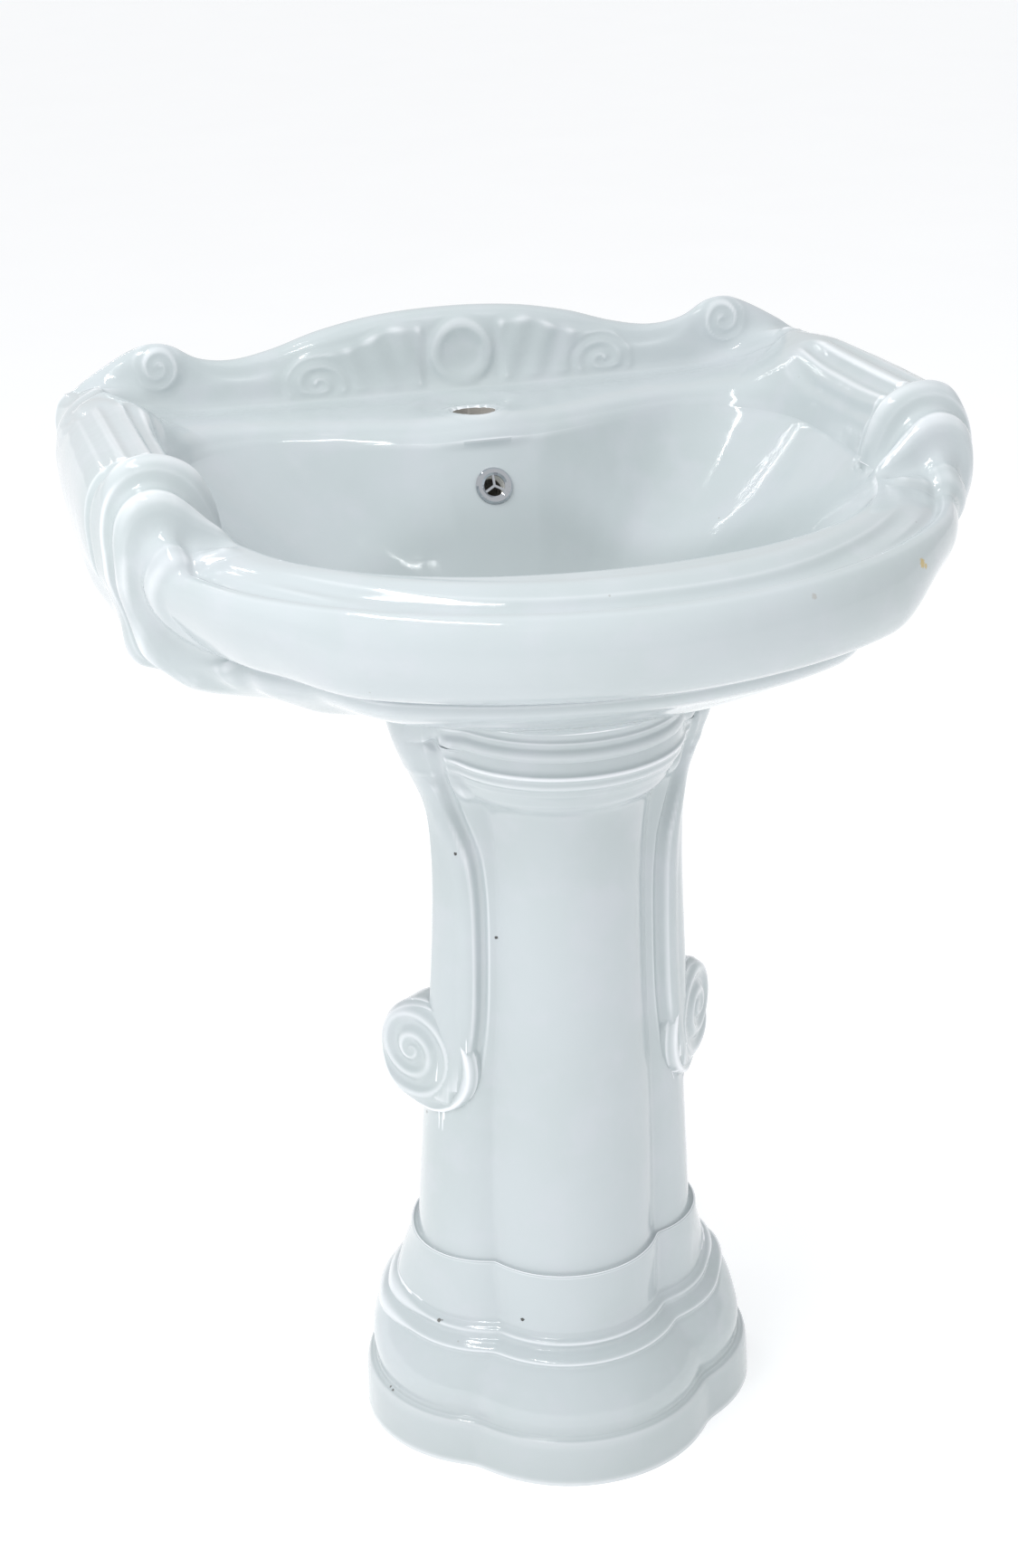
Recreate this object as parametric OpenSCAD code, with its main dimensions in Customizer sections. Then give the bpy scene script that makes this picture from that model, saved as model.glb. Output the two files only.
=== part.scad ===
// Ornate pedestal wash basin: a ceramic basin with rolled arms on a lobed ceramic
// pedestal, with its overflow, click-clack waste, bottle trap and wall fixings.
// X runs to the right, the front faces -Y, the wall is at +Y and the floor is z = 0.

/* [Basin] */
// Distance from the middle of the basin forward to the outermost point of the front roll
front_reach = 326; // [322:1:330]
// Half the width over the arms
arm_reach = 340; // [336:1:345]
// Distance of the wall plane behind the origin
wall_y = 260; // [256:1:264]
// Height of the bowl's rim above the floor
rim_z = 797; // [780:1:820]
// Depth of the bowl below its rim, at the waste
bowl_depth = 132; // [120:1:138]
// Thickness of the fired clay
clay_t = 10; // [9:0.5:12]

/* [Holes] */
// Radius of the tap hole
tap_r = 17.5; // [16:0.5:18.5]
// Distance of the tap hole behind the origin
tap_y = 161; // [158:1:164]
// Radius of the waste hole
waste_hole_r = 22.5; // [22:0.25:24]
// Radius of the overflow hole
overflow_hole_r = 11; // [11:0.25:12]
// Radius of each wall bolt hole
fixing_hole_r = 7; // [6.5:0.25:8]
// Distance between the two wall bolts
fixing_span = 280; // [276:2:290]
// Height of the wall bolts above the floor
fixing_z = 735; // [730:1:742]

/* [Pedestal] */
// Height of the pedestal
pedestal_h = 648; // [645:0.5:650]
// Half the width of the foot
foot_reach = 167; // [162:1:169]
// Thickness of the pedestal's wall
shell_t = 11; // [9:0.5:12]
// Half of the angle that the wall goes round, from the front to each edge of the open back
wrap_angle = 135; // [130:1:140]
// Distance between the two floor screw holes
floor_screw_span = 150; // [146:2:154]
// Radius of each floor screw hole
floor_screw_r = 4; // [3:0.5:4.5]

/* [Waste and trap] */
// Outer radius of the waste's threaded tail
tail_r = 20.9; // [20.5:0.1:21]
// Travel of the plug between open and shut
plug_travel = 8.8; // [8:0.1:8.8]
// Outer radius of the trap's pipes
pipe_r = 16; // [15.5:0.1:16]
// Height of the trap's outlet above the floor
outlet_z = 505; // [503:1:507]

/* [Hidden] */
$fn = 64;

glaze = "white";
chrome = "lightsteelblue";
plastic = "whitesmoke";
rubber = "dimgray";
zinc = "silver";

// ---- Curves ----------------------------------------------------------------

// Rises smoothly from 0 at a to 1 at b
function ease(x, a, b) = let (t = min(1, max(0, (x - a) / (b - a)))) t * t * (3 - 2 * t);
function mix(a, b, t) = a + (b - a) * t;

// A smooth value at x through knots [[x, value], ...], level at both ends
function knot_before(k, x, i = 0) =
    i >= len(k) - 2 || x <= k[i + 1][0] ? i : knot_before(k, x, i + 1);
function knot_slope(k, i) =
    i == 0 || i == len(k) - 1 ? 0 : (k[i + 1][1] - k[i - 1][1]) / (k[i + 1][0] - k[i - 1][0]);
function through(k, x) =
    let (
        i = knot_before(k, x),
        w = k[i + 1][0] - k[i][0],
        t = min(1, max(0, (x - k[i][0]) / w)),
        e = t * t * (3 - 2 * t)
    )
    mix(k[i][1], k[i + 1][1], e) + w * t * (1 - t) * ((1 - t) * knot_slope(k, i) - t * knot_slope(k, i + 1));

// A smooth line through the points p, with n steps between neighbours
function bend(p, i, t) =
    let (a = p[max(i - 1, 0)], b = p[i], c = p[i + 1], d = p[min(i + 2, len(p) - 1)])
    b + 0.5 * t * (c - a + t * (2 * a - 5 * b + 4 * c - d + t * (3 * b - a - 3 * c + d)));
function smooth_line(p, n) =
    concat([for (i = [0 : len(p) - 2], s = [0 : n - 1]) bend(p, i, s / n)], [p[len(p) - 1]]);

// Faces of a closed tube of rings, each with m points; the last ring meets the first
function torus_faces(rings, m) = [
    for (i = [0 : rings - 1], j = [0 : m - 1], half = [0, 1])
        let (
            a = i * m + j,
            b = ((i + 1) % rings) * m + j,
            c = ((i + 1) % rings) * m + (j + 1) % m,
            d = i * m + (j + 1) % m
        )
        half == 0 ? [a, b, c] : [a, c, d]
];

// ---- Basin -----------------------------------------------------------------
// The basin is swept round the waste. At each angle from the front it has one upright
// section, blended from four: the front roll, the closed arm, the arm's open rear end
// and the wall side. A section's points are [u, z], with u from 0 at the bowl's rim to
// 1 at the outermost point.

waste_y = -30;
waste_seat_r = 34;
boss_r = 36;
boss_drop = 18;
bowl_floor_z = rim_z - bowl_depth;
boss_z = bowl_floor_z - clay_t - boss_drop;
seat_z = pedestal_h;
open_edge_z = 704;

wall_reach = wall_y - waste_y;
// The bolts and the outlet pipe reach as far back as the basin reaches forward
wall_end_y = front_reach;
corner_angle = 180 - atan2(arm_reach - 8, wall_reach);

// Distance of the bowl's rim from the waste, at angles from the front
rim_knots = [
    [0, 217], [15, 220], [30, 228], [45, 238], [60, 247], [75, 250], [90, 254], [105, 266],
    [118, 285], [129, 287], [137, 264], [144, 228], [150, 200], [157, 177], [166, 159], [180, 151]
];
// The same for the outermost point of the roll and of the arms
roll_knots = [
    [0, front_reach + waste_y], [20, front_reach + waste_y], [40, 302], [60, 312], [74, 316],
    [82, arm_reach - 7], [90, arm_reach - 1], [100, arm_reach + 6], [110, arm_reach + 22],
    [120, arm_reach + 50], [corner_angle, (arm_reach - 8) / sin(corner_angle)], [150, 700]
];
// The same for the edge that stands on the pedestal
stand_knots = [[0, 131], [20, 130], [45, 120], [75, 129], [100, 130], [180, 130]];
// Height of the splash-back's crest, at distances from the middle
crest_knots = [
    [0, 881], [60, 878], [110, 869], [150, 857], [185, 851], [215, 855], [240, 868], [262, 874],
    [285, 871], [308, 861], [332, 844]
];

function rim_r(a) = through(rim_knots, a);
function wall_r(a) = a > 100 ? -wall_reach / cos(a) : 2000;
function outer_r(a) = min(through(roll_knots, a), wall_r(a));
function crest_z(x) = through(crest_knots, x);

front_skin = [
    [0, 0], [0.08, 0.80], [0.30, 0], [0.52, -5], [0.66, -10.50], [0.76, -8.50], [0.86, -10.50],
    [0.95, -20], [1, -35], [0.97, -52], [0.84, -67], [0.60, -75], [0.30, -78], [0.33, -85],
    [0.28, -94], [0.06, -104]
];
arm_skin = [
    [0, 0], [0.02, 6], [0.06, 18], [0.12, 32], [0.22, 44], [0.40, 52], [0.60, 53], [0.80, 46],
    [0.94, 32], [1, 10], [0.98, -17], [0.90, -47], [0.78, -79], [0.60, -95], [0.35, -106], [0.05, -114]
];
open_arm_skin = [
    [0, 0], [0.02, 6], [0.06, 18], [0.12, 32], [0.22, 44], [0.40, 52], [0.60, 53], [0.80, 46],
    [0.94, 32], [1, 10], [0.98, -17], [0.93, -45], [0.88, -65], [0.84, -79], [0.82, -87], [0.81, -91]
];
function wall_skin(crest) = [
    [0, 0], [0.05, 6], [0.16, 14], [0.45, 18], [0.68, 18], [0.75, 23], [0.79, 38], [0.82, crest - 12],
    [0.86, crest - 3], [0.92, crest], [0.98, crest - 2], [1, crest - 10], [1, 3], [1, -47], [1, -85], [1, -90]
];
// Heights of three more points that lead from the skin's last point to the standing edge
stand_drop = [-122, -136, seat_z - rim_z];
open_drop = [-91.5, -92.5, open_edge_z - rim_z];

// The inside of the hollow clay, from the standing edge round to just below the rim
front_lining = [
    [0.02, -96], [0.16, -80], [0.50, -65], [0.78, -54], [0.87, -36], [0.80, -21], [0.60, -19],
    [0.30, -12], [0.20, -11], [0.13, -16]
];
arm_lining = [
    [0.10, -103], [0.45, -92], [0.70, -67], [0.86, -17], [0.88, 10], [0.80, 30], [0.60, 41],
    [0.38, 39], [0.22, 28], [0.12, -2]
];
open_arm_lining = [
    [0.72, -75], [0.76, -52], [0.82, -32], [0.87, -12], [0.88, 10], [0.80, 30], [0.60, 41], [0.38, 39],
    [0.22, 28], [0.12, -2]
];
wall_lining = [
    [0.905, -72], [0.905, -52], [0.905, -32], [0.905, -12], [0.89, 0], [0.80, 3], [0.60, 3],
    [0.25, 2], [0.12, -2], [0.08, -12]
];

// Blends the four sections for an angle from the front
function blended(front, arm, open_arm, wall, a, lag = 0) =
    let (to_arm = ease(a, 70 + lag, 84 + lag), to_open = ease(a, 98, 120), to_wall = ease(a, 120, 142))
    mix(mix(mix(front, arm, to_arm), open_arm, to_open), wall, to_wall);

// The lining turns from roll to arm this much later than the skin, so the wall stays thick
lining_lag = 5;

bowl_steps = [0 : 0.125 : 0.99];
lining_steps = [0.9, 0.72, 0.54, 0.36, 0.18];

// Height of the bowl above its floor at a fraction of the way out to the rim
function bowl_rise(f) = bowl_depth * f * f;

function section(a, n) =
    let (
        rim = rim_r(a),
        reach = outer_r(a) - rim,
        open = ease(a, 98, 120),
        edge = mix(through(stand_knots, a), rim + mix(0.80, 0.995, ease(a, 120, 142)) * reach, open),
        crest = crest_z(outer_r(a) * sin(a)) - rim_z,
        skin_uz = blended(front_skin, arm_skin, open_arm_skin, wall_skin(crest), a),
        skin = [for (p = skin_uz) [rim + p[0] * reach, rim_z + p[1]]],
        last = skin[len(skin) - 1],
        drops = mix(stand_drop, open_drop, open),
        under = [for (i = [0 : 2]) [mix(last[0], edge, [0.35, 0.75, 1][i]), rim_z + drops[i]]],
        edge_z = rim_z + drops[2],
        lining_uz = blended(front_lining, arm_lining, open_arm_lining, wall_lining, a, lining_lag),
        lining = [for (p = lining_uz) [rim + p[0] * reach, rim_z + p[1]]],
        foot_in = [edge - clay_t - 3, edge_z],
        foot_up = [edge - clay_t - 2, edge_z + clay_t],
        bowl_w = rim - waste_seat_r
    )
    concat(
        [[waste_hole_r - 2.5, bowl_floor_z]],
        [for (f = bowl_steps) [waste_seat_r + f * bowl_w, bowl_floor_z + bowl_rise(f)]],
        smooth_line(concat(skin, under), n),
        [foot_in, foot_up, mix(foot_up, lining[0], 0.5)],
        lining,
        [for (f = lining_steps)
            let (s = 2 * bowl_depth * f / bowl_w, k = clay_t / sqrt(1 + s * s))
            [waste_seat_r + f * bowl_w + s * k, bowl_floor_z + bowl_rise(f) - k]],
        [[boss_r + 1, bowl_floor_z - clay_t], [boss_r, boss_z], [waste_hole_r - 2.5, boss_z]]
    );

half_angles = [
    0, 8, 16, 24, 32, 40, 48, 56, 63, 69, 73, 77, 81, 85, 91, 98, 105, 112, 119, 125,
    corner_angle, 136, 141, 147, 153, 159, 165, 172, 180
];
sweep_angles = concat(half_angles, [for (i = [len(half_angles) - 2 : -1 : 1]) -half_angles[i]]);

module basin_clay() {
    rings = [for (a = sweep_angles) section(abs(a), 2)];
    m = len(rings[0]);
    points = [
        for (i = [0 : len(rings) - 1], p = rings[i])
            [p[0] * sin(sweep_angles[i]), waste_y - p[0] * cos(sweep_angles[i]), p[1]]
    ];
    polyhedron(points, torus_faces(len(rings), m), convexity = 10);
}

// Overflow: a hole through the bowl's rear wall into a cast duct down to the waste hole
overflow_f = 0.863;
rear_bowl_w = rim_r(180) - waste_seat_r;
overflow_y = waste_y + waste_seat_r + overflow_f * rear_bowl_w;
overflow_z = bowl_floor_z + bowl_rise(overflow_f);
overflow_tilt = 90 - atan(2 * bowl_depth * overflow_f / rear_bowl_w);
duct_y = overflow_y + 26;
duct_r = 17;
duct_bore_r = 10;
duct_low_z = boss_z + 11;

// Turns a shape drawn along +Z so that it looks out of the overflow hole
module at_overflow() {
    translate([0, overflow_y, overflow_z]) rotate([90 - overflow_tilt, 0, 0]) children();
}

deck_pad_z = rim_z - 2;
wall_pad_y = wall_y - 16;

// A cylinder along +Y from one distance to another
module rod_y(r, from_y, to_y, x = 0, z = 0) {
    translate([x, to_y, z]) rotate([90, 0, 0]) cylinder(r = r, h = to_y - from_y);
}

module basin() {
    color(glaze) difference() {
        union() {
            basin_clay();
            translate([0, duct_y, duct_low_z - 8]) cylinder(r = duct_r, h = overflow_z + 14 - duct_low_z);
            rod_y(10, waste_y + 30, duct_y, 0, duct_low_z);
            translate([0, tap_y, deck_pad_z]) cylinder(r = 28, h = 15);
            for (side = [-1, 1]) rod_y(18, wall_pad_y, wall_y, side * fixing_span / 2, fixing_z);
        }
        translate([0, waste_y, boss_z - 5]) cylinder(r = waste_hole_r, h = 60);
        translate([0, tap_y, deck_pad_z - 5]) cylinder(r = tap_r, h = 40);
        at_overflow() translate([0, 0, -30]) cylinder(r = overflow_hole_r, h = 40);
        translate([0, duct_y, duct_low_z]) cylinder(r = duct_bore_r, h = overflow_z - 4 - duct_low_z);
        rod_y(6, waste_y + 10, duct_y, 0, duct_low_z);
        for (side = [-1, 1]) rod_y(fixing_hole_r, wall_pad_y - 5, wall_y + 5, side * fixing_span / 2, fixing_z);
    }
}

// ---- Pedestal --------------------------------------------------------------
// Each level is three round lobes, one in front and one on each side, round an upright axis:
// [height, y of the axis, reach of the front lobe, reach of the side lobes, roundness of the
// front lobe, roundness of the side lobes]. Behind the axis the side lobes are always full.
pedestal_levels = [
    [0, -20, foot_reach - 11, foot_reach, 0.77, 0.66],
    [34, -20, foot_reach - 13, foot_reach - 2, 0.77, 0.66],
    [41, -20, foot_reach - 18, foot_reach - 7, 0.77, 0.66],
    [44, -20, 147, 157, 0.77, 0.65], [54, -20, 148, 158, 0.77, 0.65], [64, -20, 146, 157, 0.77, 0.65],
    [76, -20, 139, 152, 0.77, 0.64], [88, -20, 129, 144, 0.76, 0.63], [92, -20, 125, 141, 0.76, 0.62],
    [96, -20, 125, 141, 0.76, 0.62], [100, -20, 119, 135, 0.75, 0.61],
    [103, -20, 114, 131, 0.75, 0.60], [108, -20, 114, 131, 0.74, 0.59],
    [112, -20, 109, 126, 0.74, 0.58], [120, -20, 107, 123, 0.73, 0.56],
    [160, -20, 107, 122, 0.74, 0.54], [167, -20, 106, 121, 0.74, 0.53],
    [171, -21, 100, 116, 0.76, 0.52], [220, -24, 96, 113, 0.80, 0.50], [300, -31, 88, 108, 0.87, 0.47],
    [400, -41, 79, 102, 0.91, 0.44], [500, -45, 79, 98, 0.86, 0.45], [560, -43, 87, 101, 0.82, 0.48],
    [588, -38, 103, 110, 0.78, 0.54], [600, -35, 118, 116, 0.76, 0.58],
    [608, -34, 126, 120, 0.75, 0.60], [616, -34, 126, 122, 0.75, 0.60],
    [624, -34, 119, 120, 0.75, 0.60], [628, -34, 122, 124, 0.75, 0.61],
    [634, -34, 126, 128, 0.75, 0.62], [641, -34, 125, 128, 0.75, 0.63], [pedestal_h, -34, 127, 128, 0.76, 0.64]
];
lobe_sharpness = 40;
rear_roundness = 0.8;

// Distance from the axis to the lobed outline of a level, at an angle from the front
function lobe_r(reach, roundness, along, across) =
    let (r = reach * roundness, c = reach - r) c * along + sqrt(r * r - c * c * across * across);
function outline_r(level, a) =
    let (
        f = a < 90 ? lobe_r(level[2], level[4], cos(a), sin(a)) : 1,
        s_roundness = a < 90 ? level[5] : rear_roundness,
        s = abs(cos(a)) * (1 - s_roundness) < s_roundness ? lobe_r(level[3], s_roundness, sin(a), cos(a)) : 1
    )
    pow(pow(f / s, lobe_sharpness) + 1, 1 / lobe_sharpness) * s;

wrap_steps = 24;
wrap_angles = [for (i = [-wrap_steps : wrap_steps]) wrap_angle * i / wrap_steps];

function outline(level) = [
    for (a = wrap_angles)
        let (r = outline_r(level, abs(a))) [r * sin(a), level[1] - r * cos(a)]
];
function inset(line, t) = [
    for (i = [0 : len(line) - 1])
        let (
            d = line[min(i + 1, len(line) - 1)] - line[max(i - 1, 0)],
            k = t / norm(d)
        )
        line[i] + [-d[1] * k, d[0] * k]
];

module pedestal_shell() {
    n = len(wrap_angles);
    m = 2 * n;
    rows = len(pedestal_levels);
    points = [
        for (level = pedestal_levels)
            let (outer = outline(level), inner = inset(outer, shell_t))
            for (i = [0 : m - 1])
                let (p = i < n ? outer[i] : inner[m - 1 - i]) [p[0], p[1], level[0]]
    ];
    sides = [
        for (j = [0 : rows - 2], i = [0 : m - 1], half = [0, 1])
            let (a = j * m + i, b = j * m + (i + 1) % m, c = b + m, d = a + m)
            half == 0 ? [a, c, b] : [a, d, c]
    ];
    top = (rows - 1) * m;
    caps = [
        for (i = [0 : n - 2], half = [0, 1])
            half == 0 ? [i, i + 1, m - 2 - i] : [i, m - 2 - i, m - 1 - i]
    ];
    lids = [for (f = caps) [f[2] + top, f[1] + top, f[0] + top]];
    polyhedron(points, concat(sides, caps, lids), convexity = 8);
}

// A round scroll stands on each side lobe, turned outwards from the front
volute_x = 113;
volute_y = -40;
volute_z = 345;
volute_r = 51;
volute_turn = 54;
volute_t = 22;
lug_t = 10;
lug_y = 80;

module pedestal() {
    color(glaze) difference() {
        union() {
            pedestal_shell();
            for (side = [-1, 1]) {
                translate([side * volute_x, volute_y, volute_z]) rotate([90, 0, side * volute_turn])
                    translate([0, 0, -volute_t]) cylinder(r = volute_r, h = volute_t);
                translate([side * 81 - 19, lug_y - 11, 0]) cube([38, 22, lug_t]);
            }
        }
        for (side = [-1, 1])
            translate([side * floor_screw_span / 2, lug_y, -1]) cylinder(r = floor_screw_r, h = lug_t + 2);
    }
}

// ---- Overflow trim ---------------------------------------------------------
trim_r = 15;
trim_open_r = 8.5;
trim_t = 2.5;
sleeve_r = overflow_hole_r - 0.3;
sleeve_len = 12;

module overflow_ring() {
    color(chrome) at_overflow() {
        rotate_extrude() polygon([
            [trim_open_r, 0.4], [trim_r, 0.4], [trim_r, 1.2], [trim_r - 1.5, trim_t + 0.4],
            [trim_open_r + 2, trim_t + 0.4], [trim_open_r, 1.4]
        ]);
        for (turn = [90, 210, 330]) rotate([0, 0, turn]) translate([0, -1, 0.4])
            cube([trim_open_r + 0.5, 2, 1.2]);
    }
}

module overflow_sleeve() {
    color(plastic) at_overflow() translate([0, 0, 0.4 - sleeve_len]) difference() {
        cylinder(r = sleeve_r, h = sleeve_len);
        translate([0, 0, -1]) cylinder(r = trim_open_r, h = sleeve_len + 2);
    }
}

// ---- Waste -----------------------------------------------------------------
top_seal_t = 1.5;
flange_z = bowl_floor_z + top_seal_t;
flange_t = 2.5;
flange_r = 32;
flange_top_z = flange_z + flange_t;
tail_in_r = 17.5;
tail_end_z = 588;
thread_gap = 0.1;
hub_r = 8;
hub_t = 6;
stud_r = 4;

// A ring round an upright axis
module ring(r_out, r_in, z, h) {
    translate([0, 0, z]) difference() {
        cylinder(r = r_out, h = h);
        translate([0, 0, -1]) cylinder(r = r_in, h = h + 2);
    }
}
// A six-sided nut, by the distance from its middle to each flat
module hex_ring(flat_r, r_in, z, h) {
    translate([0, 0, z]) difference() {
        cylinder(r = flat_r / cos(30), h = h, $fn = 6);
        translate([0, 0, -1]) cylinder(r = r_in, h = h + 2);
    }
}
module on_waste() translate([0, waste_y, 0]) children();

module waste_body() {
    color(chrome) on_waste() {
        difference() {
            union() {
                rotate_extrude() polygon([
                    [tail_in_r, flange_z], [flange_r, flange_z], [flange_r, flange_z + 1],
                    [flange_r - 2, flange_top_z], [tail_in_r + 3, flange_top_z], [tail_in_r, flange_z + 0.5]
                ]);
                ring(tail_r, tail_in_r, tail_end_z, flange_z + 0.2 - tail_end_z);
            }
            for (turn = [0, 180]) rotate([0, 0, turn]) translate([-5, 10, boss_z + 5]) cube([10, 15, 14]);
        }
        ring(hub_r, stud_r + thread_gap, tail_end_z + 4, hub_t);
        for (turn = [90, 210, 330]) rotate([0, 0, turn]) translate([hub_r - 1, -1.5, tail_end_z + 4])
            cube([tail_in_r - hub_r + 1.5, 3, hub_t]);
    }
}
module waste_top_seal() color(rubber) on_waste() ring(flange_r - 1, tail_r + 0.3, bowl_floor_z, top_seal_t);

bottom_seal_t = 6;
washer_t = 2;
waste_nut_t = 10;
bottom_seal_z = boss_z - bottom_seal_t;
waste_washer_z = bottom_seal_z - washer_t;

module waste_bottom_seal() {
    color(rubber) on_waste() rotate_extrude() polygon([
        [tail_r + 0.2, bottom_seal_z], [34, bottom_seal_z], [34, bottom_seal_z + 3],
        [30, boss_z], [tail_r + 0.2, boss_z]
    ]);
}
module waste_washer() color(zinc) on_waste() ring(33, tail_r + 0.3, waste_washer_z, washer_t);
module waste_nut() color(zinc) on_waste() hex_ring(28, tail_r + thread_gap, waste_washer_z - waste_nut_t, waste_nut_t);

// Click-clack cartridge on the waste's hub, with the plug raised
cartridge_z = tail_end_z + 4 + hub_t;
cartridge_top_z = 650;
cartridge_r = 7.5;
cartridge_bore_r = 4.6;
stem_r = 4.5;
stem_low_z = 632;
spring_z = cartridge_z + 4;
seal_t = 2;
cap_z = flange_top_z + 0.2 + plug_travel + seal_t;
cap_r = 31;

module click_cartridge() {
    color(plastic) on_waste() {
        difference() {
            translate([0, 0, cartridge_z]) cylinder(r = cartridge_r, h = cartridge_top_z - cartridge_z);
            translate([0, 0, spring_z]) cylinder(r = cartridge_bore_r, h = 100);
        }
        translate([0, 0, tail_end_z + 2]) cylinder(r = stud_r, h = cartridge_z - tail_end_z - 1.5);
    }
}

spring_turns = 7;
spring_steps = 14;
spring_r = 3.4;
wire_r = 0.5;
wire_sides = 6;
module plug_spring() {
    low = spring_z + wire_r;
    rise = stem_low_z - wire_r - low;
    count = spring_turns * spring_steps;
    points = [
        for (i = [0 : count], s = [0 : wire_sides - 1])
            let (
                turn = 360 * i / spring_steps,
                side = 360 * s / wire_sides,
                r = spring_r + wire_r * cos(side)
            )
            [r * cos(turn), r * sin(turn), low + rise * i / count + wire_r * sin(side)]
    ];
    walls = [
        for (i = [0 : count - 1], s = [0 : wire_sides - 1], half = [0, 1])
            let (
                a = i * wire_sides + s,
                b = i * wire_sides + (s + 1) % wire_sides,
                c = b + wire_sides,
                d = a + wire_sides
            )
            half == 0 ? [a, b, c] : [a, c, d]
    ];
    first = [for (s = [wire_sides - 1 : -1 : 0]) s];
    last = [for (s = [0 : wire_sides - 1]) count * wire_sides + s];
    color(zinc) on_waste() polyhedron(points, concat(walls, [first, last]), convexity = 10);
}

module plug_stem() {
    color(chrome) on_waste() {
        translate([0, 0, stem_low_z]) cylinder(r = stem_r, h = cap_z - stem_low_z);
        translate([0, 0, cap_z - 5]) cylinder(r = 7, h = 3);
    }
}
module plug_cap() {
    color(chrome) on_waste() rotate_extrude() polygon([
        [0, cap_z], [cap_r - 1, cap_z], [cap_r, cap_z + 1], [cap_r - 0.5, cap_z + 2.5], [cap_r - 4, cap_z + 4],
        [cap_r - 12, cap_z + 5.5], [cap_r - 22, cap_z + 6.3], [0, cap_z + 6.5]
    ]);
}
module plug_seal() color(rubber) on_waste() ring(27, 23, cap_z - seal_t, seal_t);

// ---- Bottle trap -----------------------------------------------------------
inlet_nut_r = 26;
pipe_in_r = pipe_r - 1.6;
inlet_flange_z = tail_end_z - 4;
body_top_z = 545;
body_low_z = 470;
body_r = 32;
body_in_r = 29;
neck_r = 22;
neck_top_z = body_top_z + 12;
cup_floor_z = 395;
cup_thread_z = 488;
dip_z = 430;

// A union nut with gripping ribs: a skirt round r_big and a lip round r_small at its closed end
module union_nut(r_out, r_big, r_small, h, lip) {
    difference() {
        union() {
            cylinder(r = r_out, h = h);
            for (turn = [0 : 30 : 330]) rotate([0, 0, turn]) translate([r_out - 1, -2, 1]) cube([2.5, 4, h - 2]);
        }
        translate([0, 0, -1]) cylinder(r = r_small, h = h + 2);
        translate([0, 0, lip]) cylinder(r = r_big, h = h);
    }
}

module trap_inlet_nut() {
    color(plastic) on_waste() translate([0, 0, inlet_flange_z - 5])
        union_nut(inlet_nut_r, tail_r + thread_gap, pipe_r + 0.3, 17, 5);
}
module trap_inlet_washer() color(rubber) on_waste() ring(20, pipe_in_r, tail_end_z - 2, 2);
module trap_inlet_tube() {
    color(plastic) on_waste() {
        ring(pipe_r, pipe_in_r, dip_z, inlet_flange_z + 0.5 - dip_z);
        ring(20, pipe_in_r, inlet_flange_z, 2);
    }
}
module trap_neck_nut() {
    color(plastic) on_waste() translate([0, 0, neck_top_z + 7]) mirror([0, 0, 1])
        union_nut(25.5, neck_r + thread_gap, pipe_r + 0.3, 16, 4);
}
module trap_neck_seal() color(rubber) on_waste() ring(21.5, pipe_r + 0.05, neck_top_z, 3);

outlet_boss_y = waste_y + 56;
outlet_boss_r = 21;
spigot_r = pipe_r - 0.5;
spigot_len = 60;
module trap_body() {
    color(plastic) on_waste() difference() {
        union() {
            translate([0, 0, body_low_z]) cylinder(r = body_r, h = body_top_z - body_low_z);
            translate([0, 0, body_top_z - 1]) cylinder(r = neck_r, h = 13);
            rod_y(outlet_boss_r, 10, outlet_boss_y - waste_y, 0, outlet_z);
        }
        translate([0, 0, body_low_z - 1]) cylinder(r = body_in_r, h = body_top_z - body_low_z - 3);
        translate([0, 0, body_low_z]) cylinder(r = pipe_r + 0.3, h = 120);
        rod_y(pipe_in_r, 12, 80, 0, outlet_z);
    }
}
module trap_cup() {
    color(plastic) on_waste() {
        difference() {
            union() {
                translate([0, 0, cup_floor_z + 8]) cylinder(r = 28.6, h = cup_thread_z - cup_floor_z - 8);
                translate([0, 0, cup_floor_z]) cylinder(r1 = 20, r2 = 28.6, h = 8.001);
                translate([0, 0, body_low_z - 15.5]) cylinder(r = 33, h = 14);
                for (turn = [0 : 30 : 330]) rotate([0, 0, turn])
                    translate([32, -2, body_low_z - 14.5]) cube([2.5, 4, 12]);
            }
            translate([0, 0, cup_floor_z + 10]) cylinder(r = 26, h = 100);
            translate([0, 0, cup_floor_z + 3]) cylinder(r1 = 19, r2 = 26, h = 7.001);
        }
    }
}
module trap_cup_seal() color(rubber) on_waste() ring(32, 28.8, body_low_z - 1.5, 1.5);

// The outlet nut and washer, drawn along +Z and turned to lie along the pipe
module along_outlet(y) translate([0, y, outlet_z]) rotate([-90, 0, 0]) children();
module trap_outlet_nut() {
    color(plastic) along_outlet(outlet_boss_y + 7) mirror([0, 0, 1])
        union_nut(25, outlet_boss_r + thread_gap, pipe_r + 0.3, 18, 4);
}
module trap_outlet_washer() color(rubber) along_outlet(0) ring(20.5, pipe_r + 0.05, outlet_boss_y, 3);
module trap_outlet_pipe() {
    color(plastic) along_outlet(0) difference() {
        union() {
            translate([0, 0, outlet_boss_y]) cylinder(r = pipe_r, h = wall_end_y - spigot_len - outlet_boss_y);
            translate([0, 0, wall_end_y - spigot_len - 1]) cylinder(r = spigot_r, h = spigot_len + 1);
        }
        cylinder(r = pipe_in_r, h = 400);
    }
}
module wall_flange() {
    color(chrome) along_outlet(wall_y) rotate_extrude() polygon([
        [pipe_r + 0.3, 0], [pipe_r + 0.3, -10], [pipe_r + 2, -10], [pipe_r + 4, -6], [30, -3], [33, -1.5], [33, 0]
    ]);
}

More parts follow.
